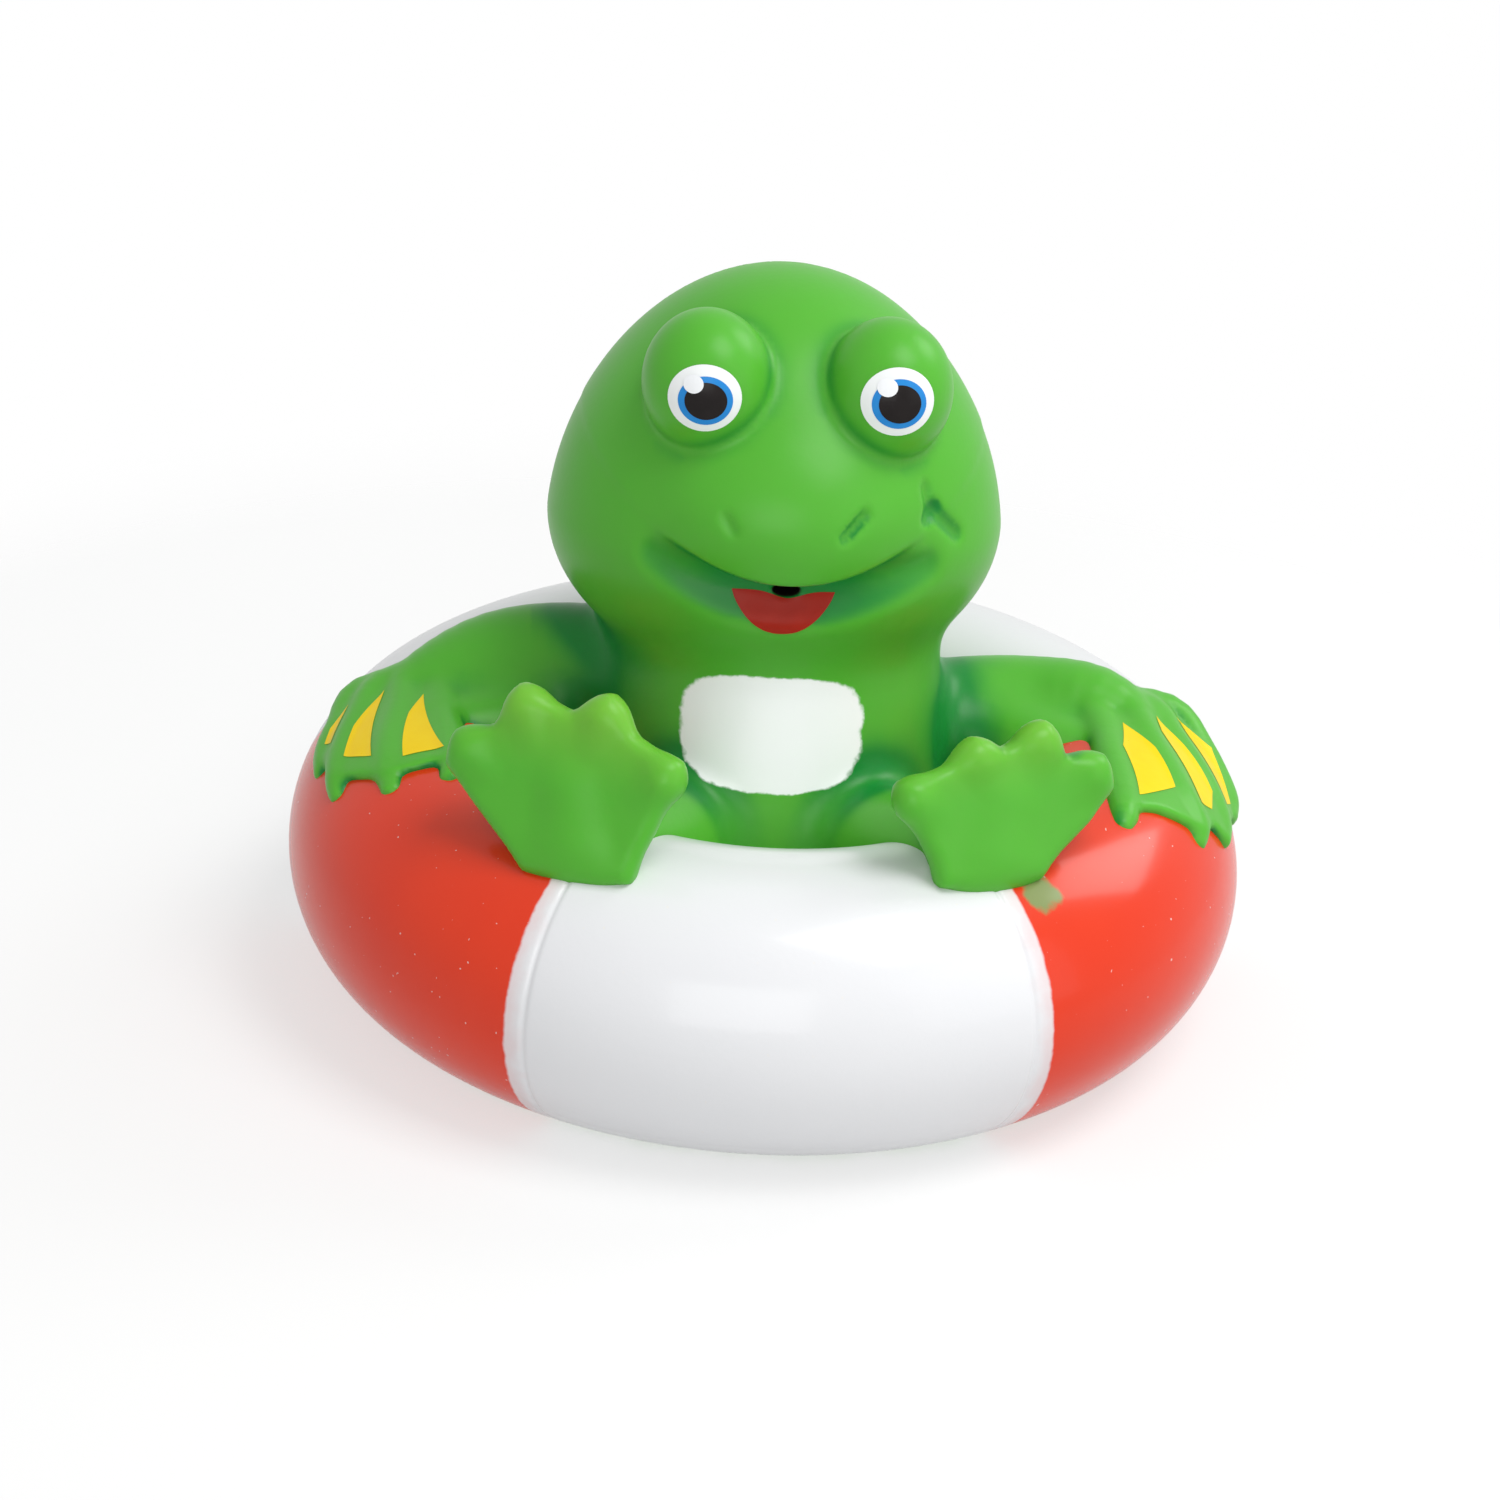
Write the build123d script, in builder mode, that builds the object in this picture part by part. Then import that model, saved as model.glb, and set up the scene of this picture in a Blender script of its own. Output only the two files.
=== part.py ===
from build123d import *
from math import asin, cos, degrees, radians, sin
import os

# A soft vinyl frog that lounges in a life ring and floats in a pool. A thermometer slides out of a
# well in its base, down into the water. Millimetres; the figure faces -Y and stands on Z = 0.

# ---------------------------------------------------------------- driving dimensions

# Life ring
ring_radius = 34.8  # to the middle of the tube
ring_tube = 15.2  # outer radius of the tube
ring_foot_depth = 0.6  # how far the tube is flattened where it stands
vinyl_wall = 2.0
cavity_link_height = 2.2  # passage that joins the hollow of the ring to that of the torso

# Torso and head, in a profile beside an axis that leans back
body_lean = 8.0  # degrees
body_seat_y = -1.6
waist_overlap = 0.8  # how far the waist runs into the ring
torso_radius = 18.6
neck_radius = 17.6
waist_height = 10.0
torso_height = 25.0
neck_height = 44.0
chin_height = 33.5
cheek_radius = 23.6
cheek_height = 50.9
crown_height = 76.6

# Face
muzzle_radius = 14.0
muzzle_reach = 10.5
muzzle_height = 53.0
eye_radius = 6.6
eye_spacing = 19.2
eye_reach = 11.5
eye_drop = 8.6  # below the crown
squirt_hole_radius = 1.3
squirt_hole_height = 51.0

# Arms and hands, draped over the ring
shoulder_place = (14.0, 5.0, 34.0)
elbow_place = (30.0, 12.0, 30.0)
shoulder_radius = 5.5
elbow_radius = 4.6
wrist_radius = 3.8
wrist_azimuth = 95.0
wrist_section = 82.0
finger_azimuths = (60.0, 67.0, 74.0, 82.0)
finger_sections = (72.0, 48.0, 33.0, 30.0)
finger_root_radius = 2.6
finger_tip_radius = 1.9
web_thickness = 2.2

# Feet, standing on the front of the ring with their soles to the front
heel_azimuth = 27.5
heel_section = 66.0
foot_lean = 20.0  # degrees
foot_turn = 25.0  # degrees outwards
foot_thickness = 4.6
heel_radius = 4.0
instep_height = 5.0
toe_radius = 2.6
toe_angles = (-26.0, 5.0, 34.0, 57.0)  # inner toe to outer toe
toe_reaches = (12.1, 15.1, 17.0, 16.8)
side_angles = (-40.0, 72.0)  # inner and outer side of the sole
side_reaches = (8.3, 13.0)
hip_place = (9.5, -13.0, 22.0)
leg_radius = 6.0
ankle_radius = 4.6

# Thermometer cartridge
tube_outer_radius = 7.5
tube_wall = 1.2
crown_room = 19.6  # between the top of the tube and the crown
water_slot_count = 4
water_slot_width = 3.0
water_slot_height = 8.0
collar_wall = 1.1
collar_skirt = 3.0
collar_lid = 3.2
vent_radius = 1.0
friction_ring_section = 1.8
friction_ring_depth = 1.3
cap_rim = 1.0  # beyond the stop ring
cap_thickness = 2.0
cap_grip_count = 16
cap_grip_radius = 0.9
cap_plug_height = 3.6
fin_width = 15.0
fin_thickness = 3.6
fin_height = 5.4
tether_eye_radius = 1.5
cushion_height = 3.4
cushion_socket_depth = 1.8
stem_radius = 2.2
stem_offset = -0.7
capillary_radius = 0.45
bulb_radius = 1.5
bulb_height = 4.6
bulb_end_wall = 0.9
spirit_reading_height = 38.0
card_width = 10.4
card_thickness = 0.6
clip_strip = 0.4
clip_height = 2.0
clip_foot = 1.5
clip_share = (0.22, 0.8)  # places of the two clips along the card

# Socket in the base
socket_wall = 1.0
socket_head_room = 1.4
flange_rim = 5.2
flange_thickness = 2.4
gasket_thickness = 0.8
gasket_inset = 0.5
stop_rim = 2.2
stop_thickness = 1.6
stop_spigot_height = 2.9
ballast_wall = 5.2
ballast_height = 7.0

# Clearances
ground_gap = 0.8  # below the grip
cap_gap = 0.3  # between the cap and the flange when the tube is pushed home
slide_gap = 0.2  # tube in the stop ring, collar in the bore
ring_gap = 0.1  # friction ring in the bore
fit_gap = 0.05  # between pieces fixed to each other
stop_gap = 0.3  # between the collar and the stop ring with the tube drawn out

# ---------------------------------------------------------------- derived sizes

ring_height = ring_tube - ring_foot_depth
waist_radius = ring_radius - ring_tube + waist_overlap
eye_height = crown_height - eye_drop
tube_top_height = crown_height - crown_room
collar_radius = tube_outer_radius + collar_wall
bore_radius = collar_radius + slide_gap
stop_radius = bore_radius + stop_rim
cap_radius = stop_radius + cap_rim
fin_bottom = ground_gap
cap_bottom = fin_bottom + fin_height
cap_top = cap_bottom + cap_thickness
flange_bottom = cap_top + cap_gap
flange_top = flange_bottom + flange_thickness
floor_bottom = flange_top + gasket_thickness
floor_top = floor_bottom + vinyl_wall
stop_top = flange_bottom + stop_thickness + stop_spigot_height
plug_top = cap_top + cap_plug_height
cushion_top = plug_top + cushion_height
collar_bottom = tube_top_height - collar_skirt
collar_top = tube_top_height + collar_lid
bore_top = collar_top + socket_head_room
tube_inner_radius = tube_outer_radius - tube_wall
socket_radius = bore_radius + socket_wall
flange_radius = socket_radius + flange_rim
ballast_radius = socket_radius + ballast_wall
top_cushion_bottom = tube_top_height - cushion_height
slide_travel = collar_bottom - stop_top - stop_gap

lean_plane = Plane(
    origin=(0, body_seat_y, 0),
    x_dir=(1, 0, 0),
    z_dir=(0, -cos(radians(body_lean)), sin(radians(body_lean))),
)
lean_axis = Axis((0, body_seat_y, 0), (0, sin(radians(body_lean)), cos(radians(body_lean))))
head_y = body_seat_y + cheek_height * sin(radians(body_lean))


# ---------------------------------------------------------------- shapes the figure is built from


def on_ring(azimuth, section, proud=0.0):
    """A point on the ring's tube: azimuth from the front, section angle up from its outer side."""
    reach = ring_radius + (ring_tube + proud) * cos(radians(section))
    rise = ring_height + (ring_tube + proud) * sin(radians(section))
    return Vector(reach * sin(radians(azimuth)), -reach * cos(radians(azimuth)), rise)


def limb(start, end, start_radius, end_radius):
    """A rounded taper between two points, as one turned solid."""
    axis = Vector(end) - Vector(start)
    length = axis.length
    slope = degrees(asin((start_radius - end_radius) / length))
    across = Plane(origin=start, z_dir=axis).x_dir
    profile_plane = Plane(origin=start, x_dir=across, z_dir=across.cross(axis))

    def rim(radius, height, angle):
        return (radius * cos(radians(angle)), height + radius * sin(radians(angle)))

    with BuildPart() as solid:
        with BuildSketch(profile_plane):
            with BuildLine():
                start_cap = ThreePointArc(
                    rim(start_radius, 0, -90),
                    rim(start_radius, 0, (slope - 90) / 2),
                    rim(start_radius, 0, slope),
                )
                end_cap = ThreePointArc(
                    rim(end_radius, length, slope),
                    rim(end_radius, length, (slope + 90) / 2),
                    rim(end_radius, length, 90),
                )
                Line(start_cap @ 1, end_cap @ 0)
                Line(end_cap @ 1, start_cap @ 0)
            make_face()
        revolve(axis=Axis(start, axis))
    return solid.part


def web(first, second, third, thickness):
    """A flat three-cornered web between two fingers."""
    first, second, third = Vector(first), Vector(second), Vector(third)
    along = second - first
    plane = Plane(origin=first, x_dir=along, z_dir=along.cross(third - first))
    tip = plane.to_local_coords(third)
    with BuildPart() as solid:
        with BuildSketch(plane):
            with BuildLine():
                Polyline((0, 0), (along.length, 0), (tip.X, tip.Y), close=True)
            make_face()
        extrude(amount=thickness / 2, both=True)
    return solid.part


def tube_of_ring(inset):
    """The ring's tube, smaller all round by inset, flattened where it stands."""
    with BuildPart() as solid:
        with BuildSketch(Plane.XZ):
            with Locations((ring_radius, ring_height)):
                Circle(ring_tube - inset)
            with Locations((ring_radius, inset - ring_tube)):
                Rectangle(2 * ring_tube, 2 * ring_tube, mode=Mode.SUBTRACT)
        revolve(axis=Axis.Z)
    return solid.part


def torso_solid(inset):
    """The torso, turned about the leaning axis and cut level at the floor."""
    with BuildPart() as solid:
        with BuildSketch(lean_plane):
            with BuildLine():
                side = Spline(
                    (waist_radius - inset, 0),
                    (waist_radius - inset, waist_height),
                    (torso_radius - inset, torso_height),
                    (neck_radius - inset, neck_height),
                )
                Line(side @ 1, (0, neck_height))
                Line((0, neck_height), (0, 0))
                Line((0, 0), side @ 0)
            make_face()
        revolve(axis=lean_axis)
        split(bisect_by=Plane.XY.offset(floor_bottom + inset), keep=Keep.TOP)
    return solid.part


def quarter_egg(radius, rise):
    """One quarter of an oval beside the leaning axis, from the axis to the cheek."""
    bow = 0.5523  # share of each half axis that makes a Bezier curve nearly elliptic
    return Bezier(
        (0, cheek_height + rise),
        (bow * radius, cheek_height + rise),
        (radius, cheek_height + bow * rise),
        (radius, cheek_height),
    )


def head_solid(inset):
    """The egg of the head: round cheeks below, a narrower crown above."""
    with BuildPart() as solid:
        with BuildSketch(lean_plane):
            with BuildLine():
                crown = quarter_egg(cheek_radius - inset, crown_height - cheek_height - inset)
                jaw = quarter_egg(cheek_radius - inset, chin_height - cheek_height + inset)
                Line(crown @ 0, jaw @ 0)
            make_face()
        revolve(axis=lean_axis)
    return solid.part


def ball(centre, radius):
    with BuildPart() as solid:
        with Locations(centre):
            Sphere(radius)
    return solid.part


def arm_solids(side):
    """Upper arm, forearm, four fingers and the webs between them; side is -1 or 1."""
    shoulder = Vector(side * shoulder_place[0], shoulder_place[1], shoulder_place[2])
    elbow = Vector(side * elbow_place[0], elbow_place[1], elbow_place[2])
    wrist = on_ring(side * wrist_azimuth, wrist_section, proud=finger_root_radius / 2)
    solids = [
        limb(shoulder, elbow, shoulder_radius, elbow_radius),
        limb(elbow, wrist, elbow_radius, wrist_radius),
    ]
    tips = []
    for azimuth, section in zip(finger_azimuths, finger_sections):
        tips.append(on_ring(side * azimuth, section, proud=finger_tip_radius / 4))
    for tip in tips:
        solids.append(limb(wrist, tip, finger_root_radius, finger_tip_radius))
    for tip, next_tip in zip(tips, tips[1:]):
        solids.append(web(wrist, tip, next_tip, web_thickness))
    return solids


def foot_solids(side):
    """A webbed foot of four toes, and the leg that carries it from the torso."""
    heel = on_ring(side * heel_azimuth, heel_section, proud=heel_radius / 2)
    turn_out, lean = radians(side * foot_turn), radians(foot_lean)
    sole = Plane(
        origin=heel,
        x_dir=(cos(turn_out), sin(turn_out), 0),
        z_dir=(sin(turn_out) * cos(lean), -cos(turn_out) * cos(lean), sin(lean)),
    )
    hip = Vector(side * hip_place[0], hip_place[1], hip_place[2])

    def on_sole(angle, reach):
        turn = radians(side * angle)
        return (reach * sin(turn), reach * cos(turn))

    toes = [on_sole(angle, reach) for angle, reach in zip(toe_angles, toe_reaches)]
    inner_side, outer_side = [on_sole(angle, reach) for angle, reach in zip(side_angles, side_reaches)]
    instep = sole.from_local_coords(Vector(0, instep_height, 0))
    solids = [limb(hip, heel, leg_radius, ankle_radius)]
    solids.append(limb(heel, instep, heel_radius, heel_radius - toe_radius / 2))
    for x, y in toes:
        solids.append(limb(instep, sole.from_local_coords(Vector(x, y, 0)), toe_radius, toe_radius))
    with BuildPart() as pad:
        with BuildSketch(sole):
            with BuildLine():
                outline = [
                    (-side * heel_radius, 0),
                    inner_side,
                    *toes,
                    outer_side,
                    (side * heel_radius, 0),
                ]
                Polyline(*outline, close=True)
            make_face()
        extrude(amount=foot_thickness / 2, both=True)
    solids.append(pad.part)
    return solids


# ---------------------------------------------------------------- float figure

outer_solids = [tube_of_ring(0), torso_solid(0), head_solid(0)]
outer_solids.append(ball((0, head_y - muzzle_reach, muzzle_height), muzzle_radius))
inner_solids = [tube_of_ring(vinyl_wall), torso_solid(vinyl_wall), head_solid(vinyl_wall)]
for side in (-1, 1):
    eye_centre = (side * eye_spacing / 2, head_y - eye_reach, eye_height)
    outer_solids.append(ball(eye_centre, eye_radius))
    inner_solids.append(ball(eye_centre, eye_radius - vinyl_wall))
    outer_solids.extend(arm_solids(side))
    outer_solids.extend(foot_solids(side))

with BuildPart() as cavity_link:
    with BuildSketch(Plane.XY.offset(floor_top)):
        Circle(ring_radius - ring_tube / 2)
        Circle(ballast_radius, mode=Mode.SUBTRACT)
    extrude(amount=cavity_link_height)
inner_solids.append(cavity_link.part)

squirt_plane = Plane(origin=(0, head_y - cheek_radius / 2, squirt_hole_height), z_dir=(0, -1, 0))

with BuildPart() as float_figure:
    for solid in outer_solids:
        add(solid)
    for solid in inner_solids:
        add(solid, mode=Mode.SUBTRACT)
    # the vinyl floor is open where the socket goes through
    with BuildSketch(Plane.XY.offset(floor_bottom)):
        Circle(socket_radius + fit_gap)
    extrude(amount=vinyl_wall, mode=Mode.SUBTRACT)
    # the small hole in the mouth that the figure squirts from
    with BuildSketch(squirt_plane):
        Circle(squirt_hole_radius)
    extrude(amount=cheek_radius, mode=Mode.SUBTRACT)
float_figure.part.label = "float_figure"

# ---------------------------------------------------------------- socket and what is fixed to it

with BuildPart() as thermometer_socket:
    with BuildSketch(Plane.XY.offset(flange_bottom)):
        Circle(flange_radius)
    extrude(amount=flange_thickness)
    with BuildSketch(Plane.XY.offset(flange_bottom)):
        Circle(socket_radius)
    extrude(amount=bore_top + socket_wall - flange_bottom)
    crown_edge = thermometer_socket.edges().filter_by(GeomType.CIRCLE).sort_by(Axis.Z)[-1]
    fillet(crown_edge, radius=socket_wall * 0.8)
    rim_edges = thermometer_socket.edges().filter_by(GeomType.CIRCLE).group_by(Axis.Z)[0]
    fillet(rim_edges, radius=flange_thickness * 0.25)
    with BuildSketch(Plane.XY.offset(flange_bottom)):
        Circle(bore_radius)
    extrude(amount=bore_top - flange_bottom, mode=Mode.SUBTRACT)
    with BuildSketch(Plane.XY.offset(flange_bottom)):
        Circle(stop_radius + fit_gap)
    extrude(amount=stop_thickness, mode=Mode.SUBTRACT)
thermometer_socket.part.label = "thermometer_socket"

with BuildPart() as socket_gasket:
    with BuildSketch(Plane.XY.offset(flange_top)):
        Circle(flange_radius - gasket_inset)
        Circle(socket_radius + fit_gap, mode=Mode.SUBTRACT)
    extrude(amount=gasket_thickness)
socket_gasket.part.label = "socket_gasket"

with BuildPart() as stop_ring:
    with BuildSketch(Plane.XY.offset(flange_bottom)):
        Circle(stop_radius)
    extrude(amount=stop_thickness)
    with BuildSketch(Plane.XY.offset(flange_bottom)):
        Circle(bore_radius - fit_gap)
    extrude(amount=stop_thickness + stop_spigot_height)
    with BuildSketch(Plane.XY.offset(flange_bottom)):
        Circle(tube_outer_radius + slide_gap)
    extrude(amount=stop_thickness + stop_spigot_height, mode=Mode.SUBTRACT)
stop_ring.part.label = "stop_ring"

with BuildPart() as ballast_ring:
    with BuildSketch(Plane.XY.offset(floor_top)):
        Circle(ballast_radius)
        Circle(socket_radius + fit_gap, mode=Mode.SUBTRACT)
    extrude(amount=ballast_height)
    chamfer(ballast_ring.edges().filter_by(GeomType.CIRCLE).group_by(Axis.Z)[-1], length=0.6)
ballast_ring.part.label = "ballast_ring"

# ---------------------------------------------------------------- friction ring

groove_top = collar_top - (collar_lid - friction_ring_section) / 2
groove_bottom = groove_top - friction_ring_section
groove_radius = bore_radius - ring_gap - friction_ring_depth

with BuildPart() as friction_ring:
    with BuildSketch(Plane.XY.offset(groove_bottom + fit_gap)):
        Circle(bore_radius - ring_gap)
        Circle(groove_radius + fit_gap, mode=Mode.SUBTRACT)
    extrude(amount=friction_ring_section - 2 * fit_gap)
    fillet(friction_ring.edges().filter_by(GeomType.CIRCLE), radius=friction_ring_depth * 0.3)
friction_ring.part.label = "friction_ring"

# ---------------------------------------------------------------- cartridge

with BuildPart() as thermometer_tube:
    with BuildSketch(Plane.XY.offset(cap_top)):
        Circle(tube_outer_radius)
        Circle(tube_inner_radius, mode=Mode.SUBTRACT)
    extrude(amount=tube_top_height - cap_top)
    slot_middle = cushion_top + water_slot_height / 2
    for slot in range(water_slot_count):
        turn = (slot + 0.5) * 360 / water_slot_count
        slot_plane = Plane(
            origin=(0, 0, slot_middle),
            x_dir=(0, 0, 1),
            z_dir=(sin(radians(turn)), -cos(radians(turn)), 0),
        )
        with BuildSketch(slot_plane):
            SlotOverall(water_slot_height, water_slot_width)
        extrude(amount=tube_outer_radius + 1, mode=Mode.SUBTRACT)
thermometer_tube.part.label = "thermometer_tube"

with BuildPart() as tube_collar:
    with BuildSketch(Plane.XY.offset(collar_bottom)):
        Circle(collar_radius)
    extrude(amount=collar_top - collar_bottom)
    top_edge = tube_collar.edges().filter_by(GeomType.CIRCLE).sort_by(Axis.Z)[-1]
    chamfer(top_edge, length=0.4)
    with BuildSketch(Plane.XY.offset(collar_bottom)):
        Circle(tube_outer_radius + fit_gap)
    extrude(amount=collar_skirt, mode=Mode.SUBTRACT)
    with BuildSketch(Plane.XY.offset(groove_bottom)):
        Circle(collar_radius)
        Circle(groove_radius, mode=Mode.SUBTRACT)
    extrude(amount=friction_ring_section, mode=Mode.SUBTRACT)
    with BuildSketch(Plane.XY.offset(collar_bottom)):
        Circle(vent_radius)
    extrude(amount=collar_top - collar_bottom, mode=Mode.SUBTRACT)
tube_collar.part.label = "tube_collar"

with BuildPart() as grip_cap:
    with BuildSketch(Plane.XY.offset(cap_bottom)):
        Circle(cap_radius)
        with PolarLocations(cap_radius, cap_grip_count):
            Circle(cap_grip_radius, mode=Mode.SUBTRACT)
    extrude(amount=cap_thickness)
    with BuildSketch(Plane.XY.offset(cap_top)):
        Circle(tube_inner_radius - fit_gap)
    extrude(amount=cap_plug_height)
    with BuildSketch(Plane.XZ.offset(-fin_thickness / 2)):
        with Locations((0, fin_bottom + fin_height / 2)):
            Rectangle(fin_width, fin_height)
    extrude(amount=fin_thickness)
    fin_edges = grip_cap.edges().filter_by(Axis.Y).group_by(Axis.Z)[0]
    fillet(fin_edges, radius=fin_height * 0.45)
    with BuildSketch(Plane.XZ.offset(-fin_thickness / 2)):
        with Locations((0, fin_bottom + fin_height / 2)):
            Circle(tether_eye_radius)
    extrude(amount=fin_thickness, mode=Mode.SUBTRACT)
grip_cap.part.label = "grip_cap"

stem_bottom = cushion_top - cushion_socket_depth
stem_top = top_cushion_bottom + cushion_socket_depth


def cushion(bottom, pocket_bottom):
    """A foam disc with a pocket for one end of the glass stem."""
    with BuildPart() as disc:
        with BuildSketch(Plane.XY.offset(bottom)):
            Circle(tube_inner_radius - fit_gap)
        extrude(amount=cushion_height)
        with BuildSketch(Plane.XY.offset(pocket_bottom)):
            with Locations((0, stem_offset)):
                Circle(stem_radius + fit_gap)
        extrude(amount=cushion_socket_depth, mode=Mode.SUBTRACT)
    return disc.part


bulb_cushion = cushion(plug_top, stem_bottom)
bulb_cushion.label = "bulb_cushion"
top_cushion = cushion(top_cushion_bottom, top_cushion_bottom)
top_cushion.label = "top_cushion"

bulb_bottom = stem_bottom + bulb_end_wall
bulb_top = bulb_bottom + bulb_height
with BuildPart() as glass_stem:
    with BuildSketch(Plane.XY.offset(stem_bottom)):
        with Locations((0, stem_offset)):
            Circle(stem_radius)
    extrude(amount=stem_top - stem_bottom)
    fillet(glass_stem.edges().filter_by(GeomType.CIRCLE), radius=stem_radius * 0.4)
    with BuildSketch(Plane.XY.offset(bulb_bottom)):
        with Locations((0, stem_offset)):
            Circle(bulb_radius)
    extrude(amount=bulb_height, mode=Mode.SUBTRACT)
    with BuildSketch(Plane.XY.offset(bulb_top)):
        with Locations((0, stem_offset)):
            Circle(capillary_radius)
    extrude(amount=stem_top - bulb_end_wall - bulb_top, mode=Mode.SUBTRACT)
glass_stem.part.label = "glass_stem"

with BuildPart() as spirit_column:
    with BuildSketch(Plane.XY.offset(bulb_bottom + fit_gap)):
        with Locations((0, stem_offset)):
            Circle(bulb_radius - fit_gap)
    extrude(amount=bulb_height - 2 * fit_gap)
    with BuildSketch(Plane.XY.offset(bulb_top - fit_gap)):
        with Locations((0, stem_offset)):
            Circle(capillary_radius - fit_gap)
    extrude(amount=spirit_reading_height - bulb_top)
spirit_column.part.label = "spirit_column"

card_front = stem_offset + stem_radius + 2 * fit_gap
card_back = card_front + card_thickness
card_length = top_cushion_bottom - cushion_top
clip_inner = stem_radius + fit_gap
clip_outer = clip_inner + clip_strip
clip_heights = [cushion_top + share * card_length for share in clip_share]

with BuildPart() as scale_card:
    with BuildSketch(Plane.XY.offset(cushion_top)):
        with Locations((0, (card_front + card_back) / 2)):
            Rectangle(card_width, card_thickness)
    extrude(amount=card_length)
    for height in clip_heights:
        for side in (-1, 1):
            with BuildSketch(Plane.XY.offset(height - clip_height / 2 - fit_gap)):
                with Locations((side * (clip_inner + clip_outer) / 2, (card_front + card_back) / 2)):
                    Rectangle(clip_strip + 2 * fit_gap, card_thickness)
            extrude(amount=clip_height + 2 * fit_gap, mode=Mode.SUBTRACT)
scale_card.part.label = "scale_card"


def clip(height):
    """A strip bent round the glass stem, through the card and out flat behind it."""
    leg_length = card_back + fit_gap + clip_strip - stem_offset
    with BuildPart() as strip:
        with BuildSketch(Plane.XY.offset(height - clip_height / 2)):
            with Locations((0, stem_offset)):
                Circle(clip_outer)
                Circle(clip_inner, mode=Mode.SUBTRACT)
            with Locations((0, stem_offset + clip_outer / 2)):
                Rectangle(2 * clip_outer, clip_outer, mode=Mode.SUBTRACT)
            for side in (-1, 1):
                with Locations((side * (clip_inner + clip_outer) / 2, stem_offset + leg_length / 2)):
                    Rectangle(clip_strip, leg_length)
                with Locations((side * (clip_outer + clip_foot / 2), card_back + fit_gap + clip_strip / 2)):
                    Rectangle(clip_foot, clip_strip)
        extrude(amount=clip_height)
    return strip.part


lower_clip, upper_clip = clip(clip_heights[0]), clip(clip_heights[1])
lower_clip.label = "lower_clip"
upper_clip.label = "upper_clip"

# ---------------------------------------------------------------- files

os.makedirs("parts", exist_ok=True)
export_step(float_figure.part, "parts/float_figure.step")
export_step(thermometer_socket.part, "parts/thermometer_socket.step")
export_step(socket_gasket.part, "parts/socket_gasket.step")
export_step(stop_ring.part, "parts/stop_ring.step")
export_step(ballast_ring.part, "parts/ballast_ring.step")
export_step(friction_ring.part, "parts/friction_ring.step")
export_step(thermometer_tube.part, "parts/thermometer_tube.step")
export_step(tube_collar.part, "parts/tube_collar.step")
export_step(grip_cap.part, "parts/grip_cap.step")
export_step(bulb_cushion, "parts/bulb_cushion.step")
export_step(top_cushion, "parts/top_cushion.step")
export_step(glass_stem.part, "parts/glass_stem.step")
export_step(spirit_column.part, "parts/spirit_column.step")
export_step(scale_card.part, "parts/scale_card.step")
export_step(lower_clip, "parts/lower_clip.step")
export_step(upper_clip, "parts/upper_clip.step")

print("slide travel", round(slide_travel, 3))
print("tether eye height", round(fin_bottom + fin_height / 2, 3))
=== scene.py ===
import math

import bpy
import numpy as np
from mathutils import Matrix, Vector


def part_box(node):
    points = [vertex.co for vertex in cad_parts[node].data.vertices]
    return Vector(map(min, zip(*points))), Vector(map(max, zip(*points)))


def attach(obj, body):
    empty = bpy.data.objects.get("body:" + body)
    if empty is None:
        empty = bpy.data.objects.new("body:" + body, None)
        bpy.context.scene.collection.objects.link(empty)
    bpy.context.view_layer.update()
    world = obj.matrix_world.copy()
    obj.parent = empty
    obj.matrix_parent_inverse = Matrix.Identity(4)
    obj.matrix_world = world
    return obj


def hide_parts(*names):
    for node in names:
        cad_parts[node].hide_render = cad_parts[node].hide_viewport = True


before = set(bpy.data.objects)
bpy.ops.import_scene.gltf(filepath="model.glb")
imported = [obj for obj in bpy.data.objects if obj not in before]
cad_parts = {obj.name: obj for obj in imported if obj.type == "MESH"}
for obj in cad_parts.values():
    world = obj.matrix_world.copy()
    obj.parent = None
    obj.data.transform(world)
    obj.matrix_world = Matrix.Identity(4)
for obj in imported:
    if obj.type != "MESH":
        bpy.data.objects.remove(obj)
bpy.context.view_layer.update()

mm = 0.001  # pieces are shaped in millimetres and go into the scene in metres

# ------------------------------------------------------------------ studio
# A white sweep, one broad softbox over the front left and weaker ones beside it, and a long lens
# that looks down on the float from a little to its right.

figure_low, figure_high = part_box("float_figure")
camera_distance = 0.500
camera_azimuth = math.radians(-3.7)
camera_elevation = math.radians(25.1)
camera_roll = math.radians(3.6)
aim_aside, aim_below = 0.0023, 0.0044
look_height = 0.4 * (figure_high[2] - figure_low[2])
look_point = np.array([0.0, 0.0, look_height])

back = np.array(
    [
        math.sin(camera_azimuth) * math.cos(camera_elevation),
        -math.cos(camera_azimuth) * math.cos(camera_elevation),
        math.sin(camera_elevation),
    ]
)
level_right = np.array([math.cos(camera_azimuth), math.sin(camera_azimuth), 0.0])
level_up = np.cross(back, level_right)
right = math.cos(camera_roll) * level_right + math.sin(camera_roll) * level_up
up = math.cos(camera_roll) * level_up - math.sin(camera_roll) * level_right
eye_point = look_point + camera_distance * back
aim_point = look_point - aim_aside * right - aim_below * up
view_back = (eye_point - aim_point) / np.linalg.norm(eye_point - aim_point)
view_right = np.cross(up, view_back)
view_right /= np.linalg.norm(view_right)
view_up = np.cross(view_back, view_right)

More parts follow.
